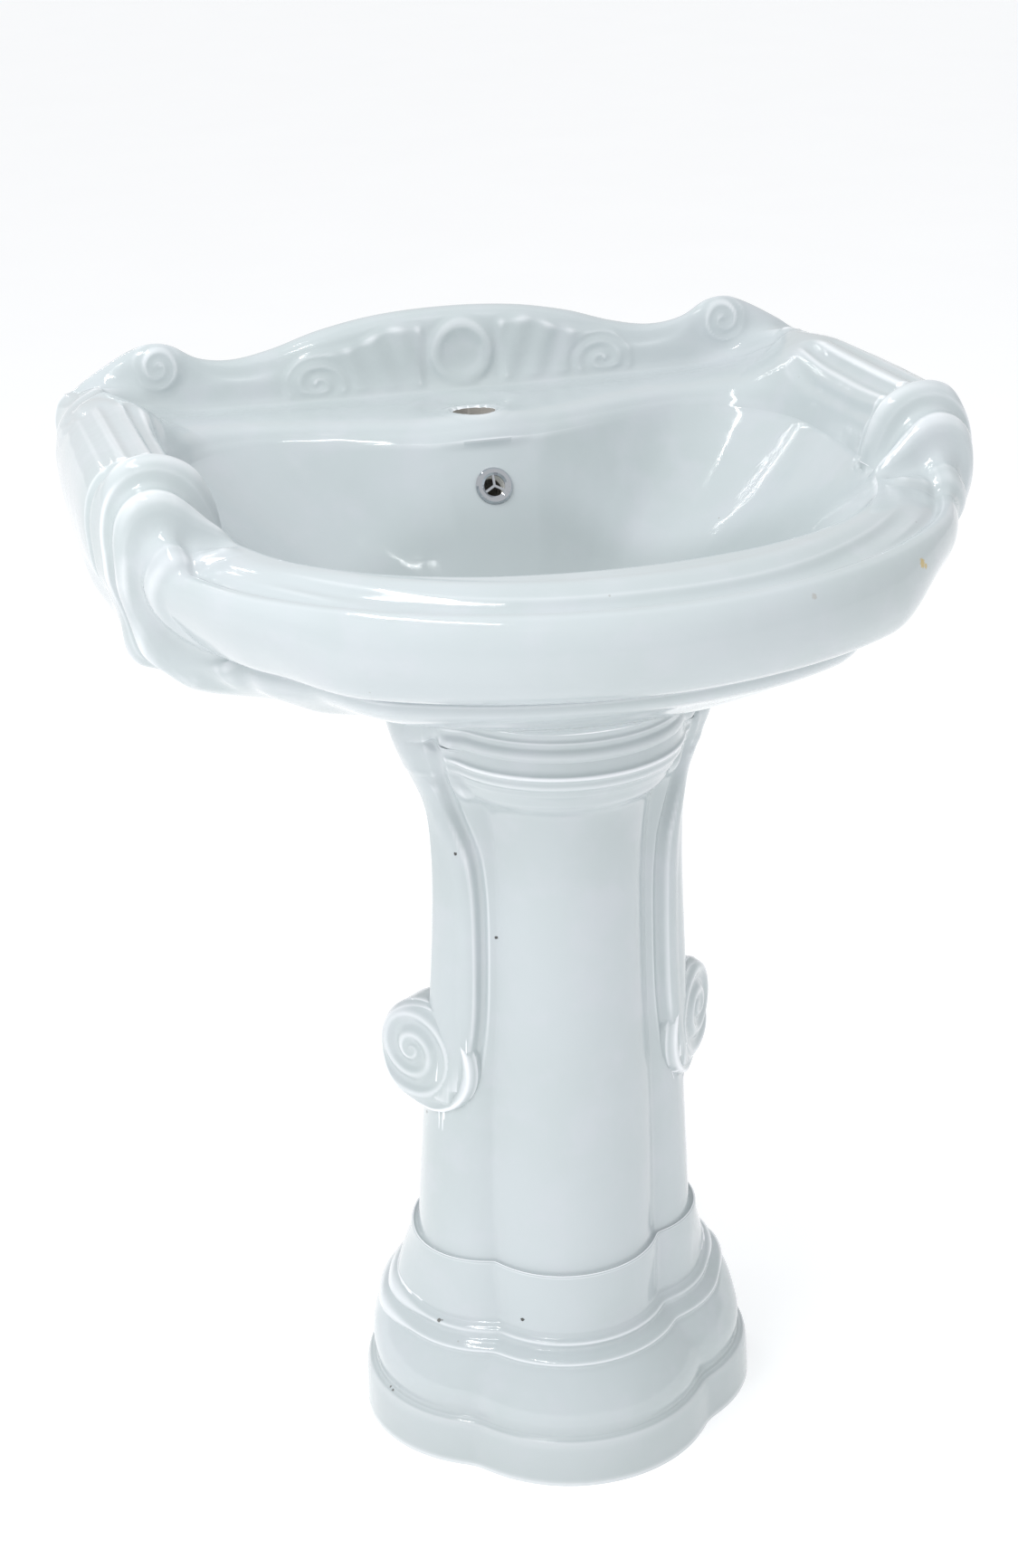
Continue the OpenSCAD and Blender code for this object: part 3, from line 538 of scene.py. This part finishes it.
def band_mask(p):
    """1 on the band, 0 off it."""
    x, y, z = np.abs(p[:, :, 0]), p[:, :, 1], p[:, :, 2]
    edge = through(BAND_EDGE, z)
    rear = through(BAND_REAR, z)
    soft = 2.5 + 7 * ease(z, 585, 605)
    return ease(x, edge - soft, edge + soft) * (1 - ease(y, rear - 4, rear + 4)) * ease(z, 296, 304)


def pedestal_ornament(p):
    x, y, z = np.abs(p[:, :, 0]), p[:, :, 1], p[:, :, 2]
    edge = through(BAND_EDGE, z)
    front = np.where(y < -20, 1, 0)
    lower = ease(z, 298, 308) * (1 - ease(z, 630, 646))
    outline_of_band = -2.5 * bump(x, edge - 4, 5) + 1.2 * bump(x, edge + 7, 6)
    band = 5 * band_mask(p) + front * lower * outline_of_band
    ear = 3.5 * bump(z, 622, 34) * bump(y, -52, 22) * ease(x, 100, 116)
    flare = 13 * bump(z, 110, 58) * ease(y, -60, 0)
    swag_under = 6 * bump(z, 588, 18) * ease(-y, 50, 80)
    swag_fill = 6.5 * bump(z, 624.5, 10) * ease(-y, 50, 80)
    ribs = 0.9 * np.cos(2 * np.pi * (z - 613) / 9)
    ribs *= ease(z, 596, 602) * (1 - ease(z, 640, 646)) * ease(-y, 62, 84)
    return band + ear + flare + (ribs + swag_under + swag_fill) * (1 - ease(x, edge - 16, edge - 3))


VOLUTE_PLACE = (112, -46, 343)
VOLUTE_R = 49
VOLUTE_TURN = 54
VOLUTE_DEPTH = 30
VOLUTE_RINGS = 40
VOLUTE_WALL_RINGS = 8
VOLUTE_SIDES = 120
SPIRAL_PITCH = 18
EYE_OFFSET = -11
EYE_RISE = 6


def volute(side):
    """A round scroll, as points and faces: a dished face with a spiral rib, and its wall."""
    lean = math.radians(VOLUTE_TURN)
    along = Vector((side * math.cos(lean), math.sin(lean), 0))
    out = Vector((side * math.sin(lean), -math.cos(lean), 0))
    fraction = np.linspace(0, 1, VOLUTE_RINGS + 1)[1:, None]
    turn = np.linspace(0, 2 * np.pi, VOLUTE_SIDES, endpoint=False)[None]
    u, v = VOLUTE_R * fraction * np.cos(turn), VOLUTE_R * fraction * np.sin(turn)
    eye_u, eye_v = u + EYE_OFFSET, v - EYE_RISE
    from_eye = np.hypot(eye_u, eye_v)
    winding = from_eye / SPIRAL_PITCH + np.arctan2(eye_v, -eye_u) / (2 * np.pi)
    rib = 1.6 * np.cos(2 * np.pi * winding) * ease(from_eye, 2, 9)
    height = rib + 5 * (1 - from_eye / 60) - 5 * ease(fraction, 0.9, 1.0) ** 2
    wall = np.linspace(0.25, 1, VOLUTE_WALL_RINGS)[:, None] * np.full((1, VOLUTE_SIDES), -VOLUTE_DEPTH)
    u = np.concatenate([u] + [u[-1:]] * VOLUTE_WALL_RINGS)
    v = np.concatenate([v] + [v[-1:]] * VOLUTE_WALL_RINGS)
    height = np.concatenate([height, wall])
    middle = Vector((side * VOLUTE_PLACE[0], VOLUTE_PLACE[1], VOLUTE_PLACE[2]))
    points = (
        np.array(middle) + u[:, :, None] * np.array(along) + v[:, :, None] * np.array((0, 0, 1))
        + height[:, :, None] * np.array(out)
    )
    centre = np.array(middle + out * float(height[0].mean()))
    points = np.concatenate([points.reshape(-1, 3), [centre]])
    faces = grid_faces(VOLUTE_RINGS + VOLUTE_WALL_RINGS, VOLUTE_SIDES, False, True).tolist()
    hub = len(points) - 1
    faces += [[hub, i, (i + 1) % VOLUTE_SIDES] for i in range(VOLUTE_SIDES)]
    last = hub - VOLUTE_SIDES
    faces.append([last + i for i in range(VOLUTE_SIDES)][::-1])
    if side < 0:
        faces = [f[::-1] for f in faces]
    return points, faces


LUG_T = 10
LUG_X, LUG_Y = 81, 80
FLOOR_SCREW_X = 75
FLOOR_SCREW_R = 4


def block(low, high):
    x, y, z = zip(low, high)
    points = np.array([(x[i], y[j], z[k]) for k in (0, 1) for j in (0, 1) for i in (0, 1)], float)
    return points, [[0, 2, 3, 1], [4, 5, 7, 6], [0, 1, 5, 4], [2, 6, 7, 3], [0, 4, 6, 2], [1, 3, 7, 5]]


def make_pedestal(glaze, clay):
    levels = smooth_lines(np.array(PEDESTAL_LEVELS, float)[None], 8)[0]
    plain = levels.copy()
    in_swag = (plain[:, 0] > SWAG_FROM) & (plain[:, 0] < SWAG_TO)
    ends = [np.searchsorted(plain[:, 0], SWAG_FROM), len(plain) - 1]
    for i in (2, 3):
        plain[in_swag, i] = np.interp(plain[in_swag, 0], plain[ends, 0], plain[ends, i])
    a = np.linspace(-WRAP, WRAP, 721)
    turn = np.radians(a)
    z = levels[:, :1]

    def points_at(r):
        y = levels[:, 1:2] - r * np.cos(turn)
        return np.stack([r * np.sin(turn), y, np.broadcast_to(z, r.shape)], axis=2)

    r = outline(levels, a)
    outer = points_at(r)
    on_band = band_mask(outer) * ease(z, SWAG_FROM - 6, SWAG_FROM + 6)
    inner_r = outline(plain, a)
    outer = points_at(mix(r, inner_r, on_band))
    tangent = np.gradient(points_at(inner_r), axis=1)
    length = np.linalg.norm(tangent[:, :, :2], axis=2)
    inner = points_at(inner_r)
    inner[:, :, 0] -= tangent[:, :, 1] / length * SHELL_T
    inner[:, :, 1] += tangent[:, :, 0] / length * SHELL_T
    normal = grid_normals(outer, False, False)
    normal *= np.where(np.sum(normal[:, :, :2] * outer[:, :, :2], axis=2, keepdims=True) < 0, -1, 1)
    rim = (1 - ease(np.abs(a), WRAP - 5, WRAP))[None]
    outer += normal * (pedestal_ornament(outer) * rim)[:, :, None]
    outer[-1, :, 2] = STAND_Z
    p = np.concatenate([outer, inner[:, ::-1]], axis=1)
    rows, columns = p.shape[:2]
    faces = grid_faces(rows, columns, False, True)[:, ::-1]
    n = outer.shape[1]
    i = np.arange(n - 1)
    top = np.stack([i, i + 1, columns - 2 - i, columns - 1 - i], axis=1) + (rows - 1) * columns
    bottom = top[:, ::-1] - (rows - 1) * columns
    raw_side = (faces.min(axis=1) % columns) >= n
    raw = np.concatenate([raw_side, np.ones(2 * len(top), bool)])
    faces = np.concatenate([faces, bottom, top])
    pedestal = mesh_object("pedestal_glazed", p, faces, [glaze, clay], raw)
    lugs, screws = [], []
    for side in (-1, 1):
        low = (side * LUG_X - 19, LUG_Y - 11, 0.2)
        lugs.append(block(low, (side * LUG_X + 19, LUG_Y + 11, LUG_T)))
        screws.append(rod(FLOOR_SCREW_R, LUG_T + 4, (side * FLOOR_SCREW_X, LUG_Y, -2), (0, 0, 1)))
    combine(pedestal, lugs, "UNION", [clay])
    combine(pedestal, [volute(-1), volute(1)], "UNION", [glaze])
    combine(pedestal, screws, "DIFFERENCE", [clay])
    return pedestal


# ---- Materials -------------------------------------------------------------

class Finish:
    """A material made of nodes, on object coordinates, which are metres here."""

    def __init__(self, name, **sockets):
        self.material = bpy.data.materials.new(name)
        self.material.use_nodes = True
        self.tree = self.material.node_tree
        self.shader = self.tree.nodes["Principled BSDF"]
        for socket, value in sockets.items():
            self.shader.inputs[socket.replace("_", " ")].default_value = value
        self.place = self.node("ShaderNodeTexCoord").outputs["Object"]

    def node(self, kind, inputs=None, **settings):
        """A node with its settings; an input is a value, or the output that feeds it."""
        node = self.tree.nodes.new(kind)
        for key, value in settings.items():
            setattr(node, key, value)
        for key, value in (inputs or {}).items():
            if isinstance(value, bpy.types.NodeSocket):
                self.tree.links.new(value, node.inputs[key])
            else:
                node.inputs[key].default_value = value
        return node

    def noise(self, size, detail=3, stretch=(1, 1, 1)):
        """Noise from 0 to 1 whose features are about size metres, longer where stretch is."""
        scale = tuple(1 / (size * s) for s in stretch)
        place = self.node("ShaderNodeMapping", {"Vector": self.place, "Scale": scale}).outputs["Vector"]
        inputs = {"Vector": place, "Scale": 1, "Detail": detail}
        return self.node("ShaderNodeTexNoise", inputs).outputs["Fac"]

    def cells(self, scale):
        """The distance from the middle of the nearest of scattered cells."""
        inputs = {"Vector": self.place, "Scale": scale, "Randomness": 1}
        return self.node("ShaderNodeTexVoronoi", inputs).outputs["Distance"]

    def distance(self, place, point):
        """The distance between a place and a point, in metres."""
        return self.node("ShaderNodeVectorMath", {0: place, 1: point}, operation="DISTANCE").outputs["Value"]

    def spread(self, value, low, high, to_low=0, to_high=1):
        """value between low and high, made to run from to_low to to_high."""
        inputs = {"Value": value, "From Min": low, "From Max": high, "To Min": to_low, "To Max": to_high}
        return self.node("ShaderNodeMapRange", inputs, interpolation_type="SMOOTHSTEP").outputs["Result"]

    def either(self, a, b):
        return self.node("ShaderNodeMath", {0: a, 1: b}, operation="MAXIMUM").outputs["Value"]

    def both(self, a, b):
        return self.node("ShaderNodeMath", {0: a, 1: b}, operation="MULTIPLY").outputs["Value"]

    def blend(self, amount, under, over):
        """The colour under, with over on it where amount is 1."""
        inputs = {"Factor": amount}
        node = self.node("ShaderNodeMix", inputs, data_type="RGBA")
        for socket, value in ((6, under), (7, over)):
            if isinstance(value, bpy.types.NodeSocket):
                self.tree.links.new(value, node.inputs[socket])
            else:
                node.inputs[socket].default_value = (*value, 1)
        return node.outputs[2]

    def spots(self, marks):
        """1 at each round mark (x, y, z, radius), in millimetres, with a ragged edge."""
        total = None
        rough = self.noise(0.0012, 2)
        for x, y, z, r in marks:
            inputs = {0: rough, 1: r * MM, 2: self.distance(self.place, (x * MM, y * MM, z * MM))}
            ragged = self.node("ShaderNodeMath", inputs, operation="MULTIPLY_ADD").outputs["Value"]
            mark = self.spread(ragged, 1.1 * r * MM, 1.5 * r * MM, 1, 0)
            total = mark if total is None else self.either(total, mark)
        return total

    def height(self, value, depth, under=None):
        """A bump of value, depth metres high, on top of the bump under."""
        inputs = {"Height": value, "Distance": depth, "Strength": 1}
        if under is not None:
            inputs["Normal"] = under
        return self.node("ShaderNodeBump", inputs).outputs["Normal"]

    def edge_wear_and_sheen(self, low=0.52, high=0.62):
        """1 along edges that stick out."""
        return self.spread(self.node("ShaderNodeNewGeometry").outputs["Pointiness"], low, high)

    def done(self, **links):
        for socket, output in links.items():
            self.tree.links.new(output, self.shader.inputs[socket.replace("_", " ")])
        return self.material


# Faults in the glaze: (x, y, z, radius)
PINHOLES = [
    (7, -135, 577, 1.7), (-89, -81, 532, 1.6), (-61, -88, 460, 1.6), (-20, -155, 620, 1.4),
    (-54, -105, 122, 1.9), (-95, -70, 572, 1.1), (72, -96, 402, 1.2), (-32, -128, 585, 0.9),
    (38, -128, 566, 0.8), (-127, -30, 111, 1.6), (-100, -78, 86, 1.4), (86, -116, 64, 1.5),
]
CHIPS = [
    (-118, -64, 111, 1.8), (-115, -66, 109, 2.2), (-112, -67, 108, 2.0), (-109, -68, 106, 1.6),
    (-128, -23, 112, 1.5), (-127, -26, 109, 1.6), (-156, -50, 42, 1.6), (-154, -54, 40, 1.8),
    (-109, -30, 285, 1.6),
]
STAINS = [(213, -243, 775, 4.2), (217, -241, 772, 2.6)]
SCUFFS = [(109, -300, 780, 2.6), (111, -300, 786, 1.8), (-190, 203, 812, 2.0)]
# The bowl's painted shade is an oval: its middle, after scaling by one over its half width and half depth
BOWL_SHADE_SCALE = (4.2, 5.6, 0)
BOWL_SHADE_MIDDLE = (0, -0.34, 0)


def glaze_finish():
    """White glaze: lighter on the edges, partly thin glaze and partly painted highlight; greener and darker
    in the creases, partly pooled glaze and partly painted shade; painted shade in the bowl; and a few
    faults.
    """
    f = Finish("glaze", IOR=1.55, Coat_Weight=0.25, Coat_Roughness=0.05)
    pooled = f.spread(f.noise(0.16, 2), 0.35, 0.7)
    colour = f.blend(pooled, (0.52, 0.57, 0.59), (0.485, 0.54, 0.55))
    colour = f.blend(f.spread(f.noise(0.035, 4), 0.45, 0.75, 0, 0.5), colour, (0.55, 0.58, 0.615))
    # Darker and greener in the creases: partly glaze pooled there, partly painted shade
    crease_pooling_and_shade = f.spread(f.node("ShaderNodeNewGeometry").outputs["Pointiness"], 0.38, 0.49, 0.15, 0)
    colour = f.blend(crease_pooling_and_shade, colour, (0.35, 0.41, 0.405))
    upward = f.node("ShaderNodeSeparateXYZ", {0: f.place}).outputs["Z"]
    flat = f.node("ShaderNodeVectorMath", {0: f.place, 1: BOWL_SHADE_SCALE}, operation="MULTIPLY").outputs[0]
    from_middle = f.distance(flat, BOWL_SHADE_MIDDLE)
    # Painted shade: the glaze is darker inside the bowl, most in its lower part, fading out towards the rim
    bowl_painted_shade = f.both(f.spread(from_middle, 0.86, 1.06, 1, 0), f.spread(upward, 0.650, 0.662))
    bowl_painted_shade = f.both(bowl_painted_shade, f.spread(upward, 0.72, 0.798, 0.62, 0))
    colour = f.blend(bowl_painted_shade, colour, (0.36, 0.41, 0.415))
    # Painted highlight along the edges that stick out, partly the glaze running thin there
    colour = f.blend(f.edge_wear_and_sheen(0.503, 0.54), colour, (0.86, 0.88, 0.91))
    low = f.spread(upward, 0.0, 0.09, 0.45, 0)
    colour = f.blend(low, colour, (0.40, 0.44, 0.44))
    specks = f.both(f.spread(f.cells(28), 0.018, 0.028, 1, 0), f.spread(f.noise(0.05, 1), 0.5, 0.56))
    colour = f.blend(f.both(specks, f.noise(0.3, 1)), colour, (0.30, 0.29, 0.26))
    colour = f.blend(f.spots(STAINS), colour, (0.52, 0.40, 0.17))
    colour = f.blend(f.spots(SCUFFS), colour, (0.45, 0.46, 0.45))
    chips = f.spots(CHIPS)
    colour = f.blend(chips, colour, (0.16, 0.16, 0.15))
    pinholes = f.spots(PINHOLES)
    colour = f.blend(pinholes, colour, (0.07, 0.07, 0.065))
    faults = f.either(chips, pinholes)
    roughness = f.spread(f.noise(0.03, 5), 0.3, 0.75, 0.07, 0.16)
    roughness = f.either(roughness, f.both(faults, 0.7))
    normal = f.height(f.noise(0.045, 2), 0.0009)
    normal = f.height(f.noise(0.004, 2), 0.00004, normal)
    normal = f.height(faults, -0.0006, normal)
    return f.done(Base_Color=colour, Roughness=roughness, Normal=normal)


def clay_and_hole_shade_finish():
    """Unglazed clay: wiped, dusty and open-grained, and darker than the clay itself, as painted shade in the
    cut holes whose walls it lines.
    """
    f = Finish("raw_clay_painted_shade", IOR=1.45)
    colour = f.blend(f.spread(f.noise(0.05, 5), 0.3, 0.7), (0.33, 0.315, 0.29), (0.26, 0.25, 0.23))
    colour = f.blend(f.edge_wear_and_sheen(), colour, (0.42, 0.405, 0.38))
    wiped = f.noise(0.006, 3, (1, 1, 0.2))
    normal = f.height(f.noise(0.0011, 6), 0.00025, f.height(wiped, 0.0003))
    return f.done(Base_Color=colour, Roughness=f.spread(wiped, 0.2, 0.8, 0.68, 0.9), Normal=normal)


def chrome_finish():
    """Polished chrome with wiping scratches and dried water spots."""
    f = Finish("chrome", Metallic=1.0)
    rings = f.spread(f.cells(260), 0.10, 0.16, 1, 0)
    scratches = f.noise(0.0006, 2, (9, 1, 9))
    colour = f.blend(rings, (0.56, 0.58, 0.61), (0.48, 0.50, 0.53))
    roughness = f.either(f.spread(scratches, 0.45, 0.8, 0.05, 0.14), f.both(rings, 0.22))
    normal = f.height(scratches, 0.000006, f.height(rings, 0.00001))
    return f.done(Base_Color=colour, Roughness=roughness, Normal=normal)


def moulded_finish(name, light, dark, roughness, grain):
    """Moulded plastic: a fine grain, slight flow marks and rubbed edges."""
    f = Finish(name, IOR=1.5)
    colour = f.blend(f.spread(f.noise(0.02, 4), 0.35, 0.7), light, dark)
    colour = f.blend(f.edge_wear_and_sheen(), colour, tuple(min(1, c * 1.06) for c in light))
    flow = f.noise(0.008, 2, (1, 1, 3))
    normal = f.height(f.noise(grain, 2), 0.00002, f.height(flow, 0.00005))
    rough = f.spread(f.noise(0.012, 4), 0.3, 0.7, roughness, roughness + 0.14)
    return f.done(Base_Color=colour, Roughness=rough, Normal=normal)


def rubber_finish():
    """Black rubber with a pale bloom."""
    f = Finish("rubber", IOR=1.5)
    colour = f.blend(f.spread(f.noise(0.006, 5), 0.45, 0.8), (0.045, 0.045, 0.047), (0.11, 0.11, 0.11))
    normal = f.height(f.noise(0.0007, 3), 0.00003)
    roughness = f.spread(f.noise(0.004, 3), 0.3, 0.7, 0.6, 0.85)
    return f.done(Base_Color=colour, Roughness=roughness, Normal=normal)


def metal_finish(name, bright, dull, roughness, lay):
    """Bare or plated metal: machining lines along lay, dull patches and edges rubbed bright."""
    f = Finish(name, Metallic=1.0)
    lines = f.noise(0.0004, 3, lay)
    patches = f.spread(f.noise(0.007, 5), 0.35, 0.7)
    colour = f.blend(patches, bright, dull)
    colour = f.blend(f.edge_wear_and_sheen(), colour, tuple(min(1, c * 1.15) for c in bright))
    rough = f.spread(lines, 0.25, 0.75, roughness, roughness + 0.2)
    return f.done(Base_Color=colour, Roughness=rough, Normal=f.height(lines, 0.00002))


# By the name of the frame's material slot
FINISHES = {
    "chrome_trim": chrome_finish(),
    "white_plastic": moulded_finish(
        "white_plastic_grain", (0.80, 0.80, 0.77), (0.73, 0.73, 0.69), 0.38, 0.0005
    ),
    "trap_plastic": moulded_finish(
        "trap_plastic_gloss", (0.84, 0.84, 0.83), (0.78, 0.78, 0.76), 0.2, 0.0009
    ),
    "rubber_seal": rubber_finish(),
    "zinc_steel": metal_finish("zinc_plate", (0.66, 0.67, 0.68), (0.55, 0.56, 0.55), 0.26, (1, 6, 1)),
    "spring_steel": metal_finish("spring_wire", (0.62, 0.62, 0.62), (0.48, 0.48, 0.49), 0.2, (6, 6, 1)),
    "brass_nut": metal_finish("brass_turned", (0.74, 0.58, 0.30), (0.58, 0.44, 0.22), 0.2, (5, 5, 1)),
}
glaze = glaze_finish()
clay = clay_and_hole_shade_finish()

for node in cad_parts.values():
    for slot in node.material_slots:
        slot.material = FINISHES.get(slot.material.name, glaze)

basin = make_basin(glaze, clay)
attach(basin, FIXED_BODY)
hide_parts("basin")
pedestal = make_pedestal(glaze, clay)
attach(pedestal, FIXED_BODY)
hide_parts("pedestal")

# ---- Floor, light and camera -----------------------------------------------
SKY_STRENGTH = 0.72
FLOOR_GLOW = 0.30
TUBE_PITCH = 0.16
STRIP_PITCH = 0.22

bpy.ops.mesh.primitive_plane_add(size=60)
floor = bpy.context.object
floor.name = "floor"
paper = Finish("floor_white", Emission_Color=(1, 1, 1, 1), Emission_Strength=FLOOR_GLOW)
paper_colour = paper.blend(paper.noise(0.4, 2), (0.90, 0.90, 0.905), (0.93, 0.93, 0.935))
paper_rough = paper.spread(paper.noise(0.01, 2), 0, 1, 0.75, 0.9)
floor.data.materials.append(paper.done(Base_Color=paper_colour, Roughness=paper_rough))

world = bpy.data.worlds.new("studio")
bpy.context.scene.world = world
world.use_nodes = True
world.node_tree.nodes["Background"].inputs["Color"].default_value = (0.97, 0.985, 1, 1)
world.node_tree.nodes["Background"].inputs["Strength"].default_value = SKY_STRENGTH
bpy.context.scene.view_settings.view_transform = "Standard"


def area_light(name, place, towards, size, size_y, power, mirrored=True):
    """A rectangular lamp; mirrored says whether the glaze and chrome reflect it."""
    light = bpy.data.lights.new(name, "AREA")
    light.shape = "RECTANGLE"
    light.size = size
    light.size_y = size_y
    light.energy = power
    obj = bpy.data.objects.new(name, light)
    obj.location = place
    obj.rotation_euler = (Vector(towards) - Vector(place)).to_track_quat("-Z", "Y").to_euler()
    obj.visible_glossy = mirrored
    bpy.context.scene.collection.objects.link(obj)


area_light("soft_left", (-2.4, -1.0, 2.1), (0, 0.1, 0.75), 2.2, 2.2, 25, mirrored=False)
area_light("soft_top", (-0.6, -1.1, 3.2), (0, 0, 0.7), 3.4, 3.4, 12, mirrored=False)
area_light("foot_fill", (-0.7, -2.3, 2.9), (0, -0.1, 0.1), 0.5, 0.5, 12, mirrored=False)
for i in range(5):
    area_light(f"tube_{i + 1}", (-0.75, -0.62 + TUBE_PITCH * i, 2.5), (-0.15, -0.25, 0.78), 1.0, 0.016, 2.4)
for i in range(2):
    area_light(f"strip_{i + 1}", (-0.9 + STRIP_PITCH * i, 2.0, 1.95), (0.2, 0, 0.75), 0.014, 1.1, 1.1)

CAMERA_AT = (-0.502, -1.7714, 1.2907)
CAMERA_TURN = -15.117
CAMERA_DOWN = 22.004
CAMERA_ROLL = -1.728
LENS_PER_WIDTH = 2.4531
camera_data = bpy.data.cameras.new("camera")
camera_data.sensor_fit = "HORIZONTAL"
camera_data.sensor_width = 36
camera_data.lens = 36 * LENS_PER_WIDTH
camera = bpy.data.objects.new("camera", camera_data)
turn, down, roll = (math.radians(v) for v in (CAMERA_TURN, CAMERA_DOWN, CAMERA_ROLL))
look = Vector((-math.sin(turn) * math.cos(down), math.cos(turn) * math.cos(down), -math.sin(down)))
right = look.cross(Vector((0, 0, 1))).normalized()
up = right.cross(look)
right, up = right * math.cos(roll) + up * math.sin(roll), up * math.cos(roll) - right * math.sin(roll)
camera.matrix_world = Matrix.Translation(CAMERA_AT) @ Matrix((right, up, -look)).transposed().to_4x4()
bpy.context.scene.collection.objects.link(camera)
bpy.context.scene.camera = camera
